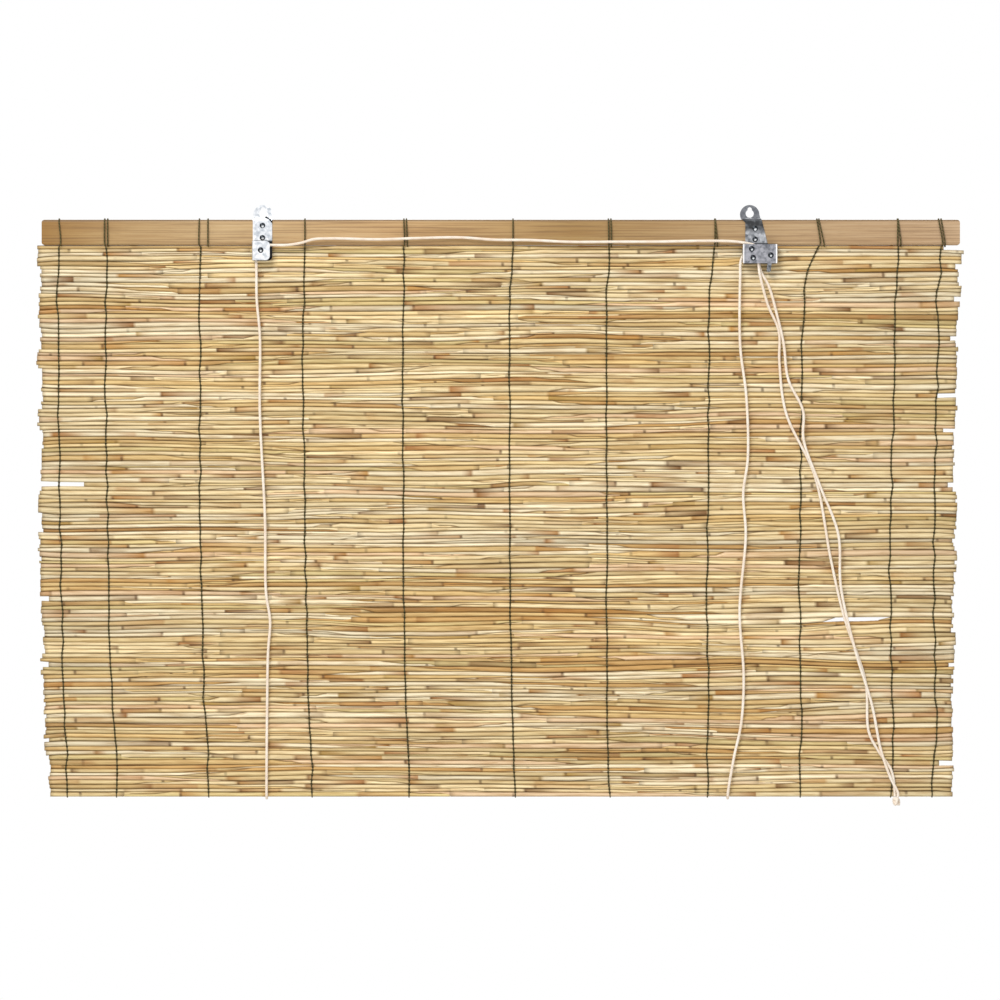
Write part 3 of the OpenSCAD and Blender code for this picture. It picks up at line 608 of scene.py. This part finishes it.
def reed_tints(reed, x, share, above):
    """The colour of one reed at each point of each ring: skin, a painted falloff of light towards the mat's
    edges, stains, tips, joints, painted shadows beyond blunt ends and lines of painted shade with some dirt.
    """
    tone = 1 + reed.fade * (2 * (x - reed.start) / max(1.0, reed.end - reed.start) - 1)
    # Painted falloff of light towards the mat's edges.
    from_edge = np.minimum(x - mat_low.x / MM, mat_high.x / MM - x)
    tone = tone * (1 - edge_falloff * np.clip(1 - from_edge / edge_reach, 0, 1))
    colour = reed.skin[None, :] * tone[:, None]
    for at, side, (soft, fade), strength, tint in reed.stains:
        far = (x - at) * side
        cover = np.clip((far + soft) / soft, 0, 1) * np.clip(1 - far / fade, 0, 1) ** 0.7
        colour = towards(colour, tint, strength * np.clip(cover, 0, 1))
    for tip, far in zip(reed.tips, (x - reed.start, reed.end - x)):
        if tip:
            colour = towards(colour, tip_tint, 0.75 * np.clip(1.2 - far / min(tip, tip_reach), 0, 1))
    for lapped, far in zip(reed.lapped, (x - reed.start, reed.end - x)):
        if not lapped:
            colour = towards(colour, joint_and_shadow_tint, 0.45 * np.clip(1.5 - far / cut_reach, 0, 1))
    colour = np.repeat(colour[:, None, :], reed_sides, axis=1)
    for at, strength, angle in reed.joints:
        near = np.clip(1.5 - np.abs(x - at) / joint_half, 0, 1) * strength
        facing = np.clip(np.cos(ring_angle - math.pi - angle), 0, 1) ** 2
        colour = towards(colour, joint_and_shadow_tint, near[:, None] * (0.3 + 0.7 * facing[None, :]))
    # A painted shadow darkens the reed just past a blunt end that lies before it.
    for at, side, strength in reed.beyond:
        far = (x - at) * side
        near = np.where(far >= -0.6, np.clip(1 - far / beyond_reach, 0, 1), 0) * strength
        colour = towards(colour, joint_and_shadow_tint, near[:, None] * np.ones(reed_sides))
    over = np.interp(x, line_x, line_depths[reed.row])
    under = np.interp(x, line_x, line_depths[reed.row + 1])
    lapping = share < 0.95
    over = np.where(lapping & ~above, reed.inner_line, over)
    under = np.where(lapping & above, reed.inner_line, under)
    # Painted shade, with some dirt, darkens the reed's upper and lower sides where it meets its neighbours.
    shade_and_dirt = over[:, None] * on_top[None, :] ** 3 + under[:, None] * below[None, :] ** 3
    return colour * (1 - np.clip(shade_and_dirt, 0, 1)[..., None] * shade_and_dirt_bite)


# Rings beside a joint, beside a blunt end on the next reed and at a reed's own ends, and their least step.
joint_rings = (-2.1, -0.7, 0.7, 2.1)
beyond_rings = (-0.8, 0.2, 6.5)
end_rings = (1.2, 4.0)
least_step = 0.3
# A lapped end lies a little behind its neighbour if it is thin, and before it if it is blunt.
lap_sway = 30
thin_back = 0.35
blunt_back = -0.5
joint_swell = 0.05
swell_half = 1.2
# A cut end is hollow: its rim and the foot of its bore, as shares of the reed's radius.
rim_share = 0.62
bore_share = 0.5


def add_reed(reed, part):
    """Rings along one reed, closer together at its ends, laps, joints and stains."""
    spots = list(np.arange(reed.start, reed.end, ring_step)) + [reed.end]
    spots += [at for at, _ in reed.share_at]
    spots += [at + d for at, strength, _ in reed.joints if strength for d in joint_rings]
    spots += [at - d * side for at, side, (soft, _), _, _ in reed.stains for d in (0, soft)]
    spots += [at + d * side for at, side, _ in reed.beyond for d in beyond_rings]
    spots += [spot for d in end_rings for spot in (reed.start + d, reed.end - d)]
    x = np.array(sorted(s for s in spots if reed.start <= s <= reed.end))
    x = x[np.concatenate([[True], np.diff(x) > least_step])]
    x[-1] = reed.end
    high = np.interp(x, grid_x, tops[reed.row])
    low = np.interp(x, grid_x, tops[reed.row + 1])
    share = reed.share(x)
    above = np.where(x < reed.turnover, reed.above[0], reed.above[1])
    radius = (high - low) * share / 2
    z = np.where(above, high - radius, low + radius)
    y = np.full_like(x, mat_y + reed.depth)
    for tip, lapped, far in zip(reed.tips, reed.lapped, (x - reed.start, reed.end - x)):
        if lapped:
            y += np.clip(1 - far / lap_sway, 0, 1) * (thin_back if tip else blunt_back)
    for at, _, _ in reed.joints:
        radius = radius * (1 + joint_swell * (np.abs(x - at) < swell_half))
    radius = radius * press
    tints = reed_tints(reed, x, share, above)
    # The inside of a blunt end's bore is painted dark, as the shade in it.
    shade_hollow = np.tile(bore_shade_tint, (2, reed_sides, 1))
    if not reed.tips[0]:
        x, y, z = (np.concatenate([[v[0]] * 2, v]) for v in (x, y, z))
        x[0] += bore_depth
        radius = np.concatenate([[bore_share * radius[0], rim_share * radius[0]], radius])
        tints = np.concatenate([shade_hollow, tints])
    if not reed.tips[1]:
        x, y, z = (np.concatenate([v, [v[-1]] * 2]) for v in (x, y, z))
        x[-1] -= bore_depth
        radius = np.concatenate([radius, [rim_share * radius[-1], bore_share * radius[-1]]])
        tints = np.concatenate([tints, shade_hollow])
    rings = np.stack(
        [
            np.repeat(x[:, None], reed_sides, axis=1),
            y[:, None] + radius[:, None] * np.cos(ring_angle),
            z[:, None] + radius[:, None] * np.sin(ring_angle),
        ],
        axis=-1,
    )
    part["faces"] += ring_faces(len(x), reed_sides, part["count"])
    part["points"].append(rings.reshape(-1, 3))
    part["tints"].append(tints.reshape(-1, 4))
    part["count"] += len(x) * reed_sides


for reed in reeds:
    add_reed(reed, mat_parts[reed.row * len(mat_parts) // rows])

# Reed skin: smooth and waxy, with fine fibres along it. The fibres are drawn 0.5 mm wide so that they show.
reed_skin, tree, shader, place = new_material("dry reed skin")
tint = add(tree, "Attribute", attribute_name="reed_tint", out="Color")
long_fibres = add(tree, "Mapping", {"Vector": place, "Scale": per_mm(45, 0.9, 0.5)})
fibres = add(tree, "TexNoise", {"Vector": long_fibres, "Scale": 1.0, "Detail": 2.0})
long_blotches = add(tree, "Mapping", {"Vector": place, "Scale": per_mm(28, 2.0, 2.0)})
blotches = add(tree, "TexNoise", {"Vector": long_blotches, "Scale": 1.0, "Detail": 2.0, "Distortion": 0.4})
fibre_shade = add(tree, "ValToRGB", {"Fac": fibres}, stops=[(0.3, "#C4AC86"), (0.55, "#FFFFFF")])
blotch_shade = add(tree, "ValToRGB", {"Fac": blotches}, stops=[(0.34, "#C4A87C"), (0.56, "#FFFFFF")])
lined = add(tree, "Mix", {0: 0.5, 6: tint, 7: fibre_shade}, 2, data_type="RGBA", blend_type="MULTIPLY")
blotched = add(tree, "Mix", {0: 0.5, 6: lined, 7: blotch_shade}, 2, data_type="RGBA", blend_type="MULTIPLY")
relief = add(tree, "Bump", {"Height": fibres, "Strength": 0.3, "Distance": 0.15 * MM})
feed(tree, shader, {"Base Color": blotched, "Normal": relief, "Roughness": 0.5, "Specular IOR Level": 0.35})

for name, part in zip(part_names, mat_parts):
    points, tints = np.vstack(part["points"]), np.vstack(part["tints"])
    made = piece("reeds_" + name, points, part["faces"], reed_skin, "blind", {"reed_tint": tints})
    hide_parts("reed_mat")

# Binding threads: dark green twisted thread, one loop for each of eleven lines.
# Each goes round the rail, down the face over every reed and into the dips between, and up the back.
# Some have a second turn round the rail. The lines lean and kink because the reeds have shifted.
thread_crest_r = 0.6
thread_dip_r = 1.1
thread_rail_r = 0.7
thread_sides = 6
thread_step = 1.0
thread_corner = 2
thread_kink = 0.8
kink_count = 40
crest_seat = 0.75
dip_sink = 0.68
dip_half = 1.1
rail_y = (rail_low.y / MM - thread_crest_r, rail_high.y / MM + thread_crest_r)
rail_z = (rail_low.z / MM, rail_high.z / MM + thread_crest_r)
# Sideways offsets of each line: down the mat, at the rail's top and foot, and of a second turn there.
lean_depths = (0, 25, 45, 85, 130, 330, 455, 490, 545)
thread_lines = [
    {"mat": (-0.5, -2, -2.5, -1.5, -2, 1.5, 4, 7, 6.5), "rail": (-0.4, 1)},
    {"mat": (-0.4, -1, -1, -1, -1.5, 1, 4.5, 9, 9.5), "rail": (-2.3, -2), "second": (0.6, 0.8)},
    {"mat": (0, -1.5, -2, -1, -1.5, 0, 3.4, 6.4, 7.4), "rail": (-1.5, -1.5), "second": (7, 7)},
    {"mat": (0.7, 0.5, 0, -1, -1, 1.8, 4.9, 6.9, 8.8), "rail": (1, 1)},
    {"mat": (1, 1, 0.8, 0, -0.5, 0.8, 3, 5, 6.9), "rail": (1, 1.5), "second": (3.5, 4.5)},
    {"mat": (3.5, 2, 0, -0.5, -0.5, 0, 2, 3, 5), "rail": (3, 3)},
    {"mat": (2.5, 2, -0.2, 0, -0.5, -0.3, 0.5, 0.6, 2.6), "rail": (1.5, 2), "second": (4, 4.5)},
    {"mat": (7, 4.5, 2, 1, 1.5, -0.6, 1, 0, 1), "rail": (7.4, 7.2), "second": (7.8, 10)},
    {"mat": (18, 8, 4.5, 2.5, 2, -0.5, 1.5, 0.5, -0.5), "rail": (17, 20), "second": (19, 24)},
    {"mat": (6.8, 6, 5, 2.5, 3.2, -1.5, 2, 2, 0), "rail": (6.5, 6.5), "second": (7, 9.6)},
    {"mat": (5.8, 5.4, 1.6, 4, 2.5, -1.4, 1.5, 0.5, -3.5), "rail": (3.8, 7.4), "second": (6.3, 10)},
]

# Twisted polyester thread: dark olive green with a soft gloss, painted nearly black with shade in the dips
# between reeds.
# The plies are drawn 3.35 mm long so that they show. A wave of scale 1 repeats every 2 pi / 10.
ply_length = 3.351
green_thread, tree, shader, place = new_material("twisted green thread")
ply_scale = 2 * math.pi / 10 * per_mm(ply_length)[0]
plies = add(
    tree,
    "TexWave",
    {"Vector": place, "Scale": ply_scale, "Distortion": 1.5, "Detail": 1.0},
    "Fac",
    bands_direction="DIAGONAL",
)
ply_green = add(tree, "ValToRGB", {"Fac": plies}, stops=[(0.2, "#443D24"), (0.8, "#645938")])
in_dip = add(tree, "Attribute", attribute_name="dip", out="Fac")
dip_shaded_green = add(tree, "Mix", {0: in_dip, 6: ply_green, 7: linear("#19180C")}, 2, data_type="RGBA")
relief = add(tree, "Bump", {"Height": plies, "Strength": 0.4, "Distance": 0.15 * MM})
feed(tree, shader, {"Base Color": dip_shaded_green, "Normal": relief})
feed(tree, shader, {"Roughness": 0.65, "Specular IOR Level": 0.15})


def thread_route(x, line, column, kinks):
    """Down the back of the mat, up its front, and over the rail, as points in millimetres."""
    low, high = mat_low.z / MM, mat_high.z / MM

    def x_at(z):
        lean = np.interp(high - z, lean_depths, line["mat"])
        return x + float(lean + np.interp(high - z, np.linspace(0, high - low, len(kinks)), kinks))

    face = []
    for row in range(rows - 1, -1, -1):
        half = (column[row] - column[row + 1]) / 2
        middle = (column[row] + column[row + 1]) / 2
        face.append((middle, half * press + crest_seat * thread_crest_r))
        face.append((column[row], half * dip_sink + thread_crest_r))
    front = [(x_at(z), mat_y - out, z) for z, out in face[:-1]]
    back = [(x_at(z), mat_y + out, z) for z, out in reversed(face[:-1])]
    return [(x_at(low), mat_y, low - thread_crest_r)] + front + rail_turn(x, line["rail"]) + back


def rail_turn(x, offsets):
    """A turn of thread over the rail, from the foot of its front to the foot of its back."""
    top, foot = x + offsets[0], x + offsets[1]
    front_y, back_y = rail_y
    foot_z, top_z = rail_z
    return [
        (foot, front_y, foot_z),
        (top, front_y, top_z - thread_corner),
        (top, front_y + thread_corner, top_z),
        (top, back_y - thread_corner, top_z),
        (top, back_y, top_z - thread_corner),
        (foot, back_y, foot_z),
    ]


for i, line in enumerate(thread_lines):
    node = f"binding_thread_{i + 1:02d}"
    low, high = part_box(node)
    x = (low.x + high.x) / 2 / MM
    column = np.array([np.interp(x, grid_x, tops[row]) for row in range(rows + 1)])
    # The outer lines are kinked more than the middle one.
    kink = thread_kink * (0.8 + abs(x) / rail_high.x * MM)
    kinks = [draw.uniform(-kink, kink) for _ in range(kink_count)]
    routes = [thread_route(x, line, column, kinks)]
    if "second" in line:
        routes.append(rail_turn(x, line["second"]))
    points, faces, dips, count = [], [], [], 0
    for route in routes:
        path = smooth_path(route, thread_step, closed=True)
        dip = np.clip(dip_half - np.abs(path[:-1, 2:3] - column[None, 1:-1]).min(axis=1), 0, 1)
        thick = thread_crest_r + (thread_dip_r - thread_crest_r) * dip
        thick[path[:-1, 2] > rail_z[0]] = thread_rail_r
        radii = np.repeat(thick[:, None], thread_sides, axis=1)
        rings = tube_rings(path, radii, closed=True)
        faces += ring_faces(len(rings), thread_sides, count, closed=True)
        points.append(rings.reshape(-1, 3))
        dips.append(np.repeat(dip, thread_sides))
        count += rings.shape[0] * thread_sides
    shades = {"dip": np.concatenate(dips)}
    made = piece(node + "_twist", np.vstack(points), faces, green_thread, "blind", shades)
    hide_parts(node)

# Bracket sheet: mild steel strip, pressed and folded, then hot-dip galvanised.
# The left strip is painted brighter, as if strongly lit, and the lock on the right darker, as if shaded,
# though both are one zinc. Painted shade darkens the inside of both housings.


def galvanised(name, bright, dull, patch_mm, roughness):
    """Zinc-coated steel: grey, with crystals 3 mm across, smudged patches and a broken gloss."""
    made, tree, shader, place = new_material(name)
    crystals = add(tree, "TexVoronoi", {"Vector": place, "Scale": per_mm(3)[0], "Randomness": 1.0}, "Color")
    smudges = add(tree, "TexNoise", {"Vector": place, "Scale": per_mm(patch_mm)[0], "Detail": 3.0})
    mixed = add(tree, "Mix", {0: 0.65, 6: crystals, 7: smudges}, 2, data_type="RGBA")
    zinc = add(tree, "ValToRGB", {"Fac": mixed}, stops=[(0.32, dull), (0.64, bright)])
    gloss = add(tree, "MapRange", {"Value": smudges, "To Min": roughness - 0.08, "To Max": roughness + 0.12})
    relief = add(tree, "Bump", {"Height": smudges, "Strength": 0.15, "Distance": 0.2 * MM})
    feed(tree, shader, {"Base Color": zinc, "Roughness": gloss, "Normal": relief, "Metallic": 1.0})
    return made, tree, shader, place, zinc


def between(tree, place, axis, start_mm, full_mm):
    """A mask that grows from 0 to 1 between two places along an axis of the blind."""
    along = add(tree, "SeparateXYZ", {"Vector": place}, axis)
    return add(tree, "MapRange", {"Value": along, "From Min": start_mm * MM, "From Max": full_mm * MM})


# The colour of painted shade in hollows and of a painted shadow line.
painted_shade_colour = linear("#26282A")
rail_foot = rail_low.z / MM

# Pulley bracket: one strip of bright galvanised steel, folded over the rail and held by two screws.
# Its front plate stands off the strap, and the hollow behind that plate is darkened with painted shade.
plate_rise = 3.7
plate_back = (-19.8, -19.2)
fold_inside = (1.2, 1.6)
shade_edge = 1.6
# This zinc is painted brighter than the lock's, as if more strongly lit.
lit_copy_zinc, tree, shader, place, zinc = galvanised("bright galvanised steel", "#F3F4F6", "#BCC2C9", 4, 0.3)
plate_top = rail_foot + plate_rise
folded_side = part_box("pulley_bracket")[0].x / MM
behind_plate = between(tree, place, "Y", *plate_back)
under_top = between(tree, place, "Z", plate_top + shade_edge, plate_top)
inside_fold = between(tree, place, "X", folded_side + fold_inside[0], folded_side + fold_inside[1])
# Painted shade darkens the strap behind the front plate and just above its top edge.
shade_hollow = add(tree, "Math", {0: behind_plate, 1: under_top}, operation="MULTIPLY")
shade_hollow = add(tree, "Math", {0: shade_hollow, 1: inside_fold}, operation="MULTIPLY")
shade_painted = add(tree, "Mix", {0: shade_hollow, 6: zinc, 7: painted_shade_colour}, 2, data_type="RGBA")
# A painted shadow line curves over the fold, from the middle of the tab to the strap's right edge.
shadow_arc_middle = (-245.1, -21.2)
shadow_arc_r = 19.8
shadow_arc_half = 0.8
shadow_arc_limits = (("X", -240, -239), ("Y", -0.4, -0.8), ("Z", -12, -11))
flat = add(tree, "VectorMath", {0: place, 1: (1, 0, 1)}, operation="MULTIPLY")
middle = (shadow_arc_middle[0] * MM, 0, shadow_arc_middle[1] * MM)
from_middle = add(tree, "VectorMath", {0: flat, 1: middle}, "Value", operation="DISTANCE")
shadow_arc = add(tree, "Math", {0: from_middle, 1: shadow_arc_r * MM, 2: shadow_arc_half * MM}, operation="COMPARE")
for axis, start_mm, full_mm in shadow_arc_limits:
    within = between(tree, place, axis, start_mm, full_mm)
    shadow_arc = add(tree, "Math", {0: shadow_arc, 1: within}, operation="MULTIPLY")
shadow_arced = add(tree, "Mix", {0: shadow_arc, 6: shade_painted, 7: painted_shade_colour}, 2, data_type="RGBA")
feed(tree, shader, {"Base Color": shadow_arced})
finish_node("pulley_bracket", lit_copy_zinc)

# Lock strap: a strip of galvanised steel, folded over the rail and held by two screws. It carries the lock.
# It carries a patchy painted dark reflection where it folds over the rail, is dull on its tab, and has painted
# shade behind the cover.
dark_reflection_rise = (-20, -15)
strap_face = (-11.8, -12.4)
tab_rise = (-8, -4)
tab_dulling = 0.7
lock_rise = 0.6
cover_shade_edge = (2.2, 0.6)
reflection_darkened_zinc, tree, shader, place, zinc = galvanised(
    "stained galvanised steel", "#B0B2B6", "#606368", 6, 0.4
)
lock_top = rail_foot + lock_rise
# A patchy painted dark reflection covers the strap's face where it folds over the rail.
blotches = add(tree, "TexNoise", {"Vector": place, "Scale": per_mm(7)[0], "Detail": 2.0})
patchy = add(tree, "MapRange", {"Value": blotches, "From Min": 0.35, "From Max": 0.6, "To Min": 0.6})
under_fold = between(tree, place, "Z", *dark_reflection_rise)
on_face = between(tree, place, "Y", *strap_face)
dark_reflection = add(tree, "Math", {0: under_fold, 1: on_face}, operation="MULTIPLY")
dark_reflection = add(tree, "Math", {0: dark_reflection, 1: patchy}, operation="MULTIPLY")
reflection_darkened = add(tree, "Mix", {0: dark_reflection, 6: zinc, 7: linear("#3C3D3E")}, 2, data_type="RGBA")
tab_mask = between(tree, place, "Z", *tab_rise)
on_tab = add(tree, "Math", {0: tab_mask, 1: tab_dulling}, operation="MULTIPLY")
reflection_darkened = add(tree, "Mix", {0: on_tab, 6: reflection_darkened, 7: linear("#5C5E63")}, 2, data_type="RGBA")
# Painted shade darkens the strap just under the cover's top.
shade_hollow = between(tree, place, "Z", lock_top + cover_shade_edge[0], lock_top + cover_shade_edge[1])
shade_painted = add(tree, "Mix", {0: shade_hollow, 6: reflection_darkened, 7: painted_shade_colour}, 2, data_type="RGBA")
feed(tree, shader, {"Base Color": shade_painted})
finish_node("lock_strap", reflection_darkened_zinc)

# Lock cover: a folded plate of galvanised steel over the lock's works, held by the lock's rivets.
# Its bends carry a painted highlight.
bend_highlighted_zinc, tree, shader, place, zinc = galvanised("rubbed galvanised steel", "#A4A4AA", "#686A70", 4, 0.36)
facing = add(tree, "TexCoord", out="Normal")
sideways = add(tree, "Math", {0: add(tree, "SeparateXYZ", {"Vector": facing}, "X")}, operation="ABSOLUTE")
on_bend = add(
    tree,
    "ValToRGB",
    {"Fac": sideways},
    stops=[(0.12, "#000000"), (0.4, "#FFFFFF"), (0.8, "#FFFFFF"), (0.98, "#000000")],
)
bend_highlighted = add(tree, "Mix", {0: on_bend, 6: zinc, 7: linear("#FBFBFC")}, 2, data_type="RGBA")
feed(tree, shader, {"Base Color": bend_highlighted})
finish_node("lock_cover", bend_highlighted_zinc)

# Pulley wheel: turned from white nylon, with one round groove. It runs on the pulley's rivet.
# Nylon is dull and slightly waxy, and the cord has greyed it in patches.
nylon, tree, shader, place = new_material("white nylon")
wear = add(tree, "TexNoise", {"Vector": place, "Scale": per_mm(2)[0], "Detail": 2.0})
worn = add(tree, "ValToRGB", {"Fac": wear}, stops=[(0.3, "#CFC9BC"), (0.7, "#EFEBE2")])
feed(tree, shader, {"Base Color": worn, "Roughness": 0.45})
finish_node("pulley_wheel", nylon)

# Lock works and staples: a steel roller, post and toothed cam on rivets, and the staples behind the rail.
# Zinc plate gives them a cool grey with a broken gloss. The cam's plating is darker.
plated, *_ = galvanised("zinc plated steel", "#D6D8DA", "#8D9296", 3, 0.28)
for node in ("lock_guide_roller", "lock_brake_post", "cord_staples"):
    finish_node(node, plated)
hardened, *_ = galvanised("dark plated steel", "#9A9CA0", "#505357", 3, 0.3)
finish_node("lock_cam", hardened)

# Rivets and screws: zinc-plated steel heads, set by a press or a driver.
# Each head carries a painted highlight on its crown and a painted dark reflection round its rim, darkest on
# top.
head_zinc, tree, shader, place, zinc = galvanised("highlight_painted zinc plated steel", "#FFFFFF", "#D8DADC", 2, 0.26)
facing = add(tree, "TexCoord", out="Normal")
frontal = add(tree, "VectorMath", {0: facing, 1: (0.03, -0.98, -0.17)}, "Value", operation="DOT_PRODUCT")
crown_highlight = add(
    tree, "ValToRGB", {"Fac": frontal}, stops=[(0.93, "#2A2D30"), (0.965, "#7C8085"), (0.985, "#F6F7F8")]
)
highlighted_heads = add(tree, "Mix", {0: 1.0, 6: crown_highlight, 7: zinc}, 2, data_type="RGBA", blend_type="MULTIPLY")
feed(tree, shader, {"Base Color": highlighted_heads})
for node in (
    "pulley_rivet", "pulley_bracket_screws", "lock_guide_rivet", "lock_brake_rivet", "lock_cam_rivet",
    "lock_strap_screws",
):
    finish_node(node, head_zinc)

# Studio: a pale floor well below the hanging blind, a white surround, and soft light from the upper left.
# The surround is plain white to the camera and to reflections. The floor is pale and keeps the shadow.
floor_drop = 0.9
floor_half = 3.0
floor_lift = 0.45
surround_level = 0.46
lamp_aim = (0.0, 0.0, -0.28)


def white_to_camera(tree):
    """1 for a ray from the camera, from a reflection or through glass, else 0."""
    rays = ["Is Camera Ray", "Is Glossy Ray", "Is Transmission Ray"]
    path = tree.nodes.new("ShaderNodeLightPath").outputs
    either = add(tree, "Math", {0: path[rays[0]], 1: path[rays[1]]}, operation="MAXIMUM")
    return add(tree, "Math", {0: either, 1: path[rays[2]]}, operation="MAXIMUM")


floor_z = mat_low.z - floor_drop
floor_mesh = bpy.data.meshes.new("floor")
corners = [(x * floor_half, y * floor_half, floor_z) for x, y in ((-1, -1), (1, -1), (1, 1), (-1, 1))]
floor_mesh.from_pydata(corners, [], [(0, 1, 2, 3)])
floor = bpy.data.objects.new("floor", floor_mesh)
bpy.context.scene.collection.objects.link(floor)
paper, tree, shader, place = new_material("white paper floor")
lift = add(tree, "Math", {0: white_to_camera(tree), 1: floor_lift}, operation="MULTIPLY")
feed(tree, shader, {"Base Color": linear("#F4F4F2"), "Roughness": 0.9})
feed(tree, shader, {"Emission Color": linear("#FFFFFF"), "Emission Strength": lift})
floor_mesh.materials.append(paper)

world = bpy.data.worlds.new("studio")
bpy.context.scene.world = world
world.use_nodes = True
tree = world.node_tree
surround = tree.nodes["Background"]
surround.inputs["Color"].default_value = linear("#FFFFFF")
strength = add(tree, "MapRange", {"Value": white_to_camera(tree), "To Min": surround_level, "To Max": 1.0})
feed(tree, surround, {"Strength": strength})


def soft_lamp(name, place, size, power):
    """A square soft box that faces the middle of the mat."""
    data = bpy.data.lights.new(name, "AREA")
    data.size = size
    data.energy = power
    lamp = bpy.data.objects.new(name, data)
    bpy.context.scene.collection.objects.link(lamp)
    lamp.location = place
    aim = np.array(lamp_aim) - np.array(place)
    lamp.rotation_euler = (
        math.acos(-aim[2] / np.linalg.norm(aim)), 0, math.atan2(aim[1], aim[0]) - math.pi / 2
    )


soft_lamp("key", (-1.5, -3.2, 2.7), 1.65, 157.0)
soft_lamp("fill", (2.0, -2.6, 0.4), 2.0, 14.0)
soft_lamp("back", (0.6, 3.2, 1.6), 2.0, 60.0)

bpy.context.scene.view_settings.view_transform = "Standard"
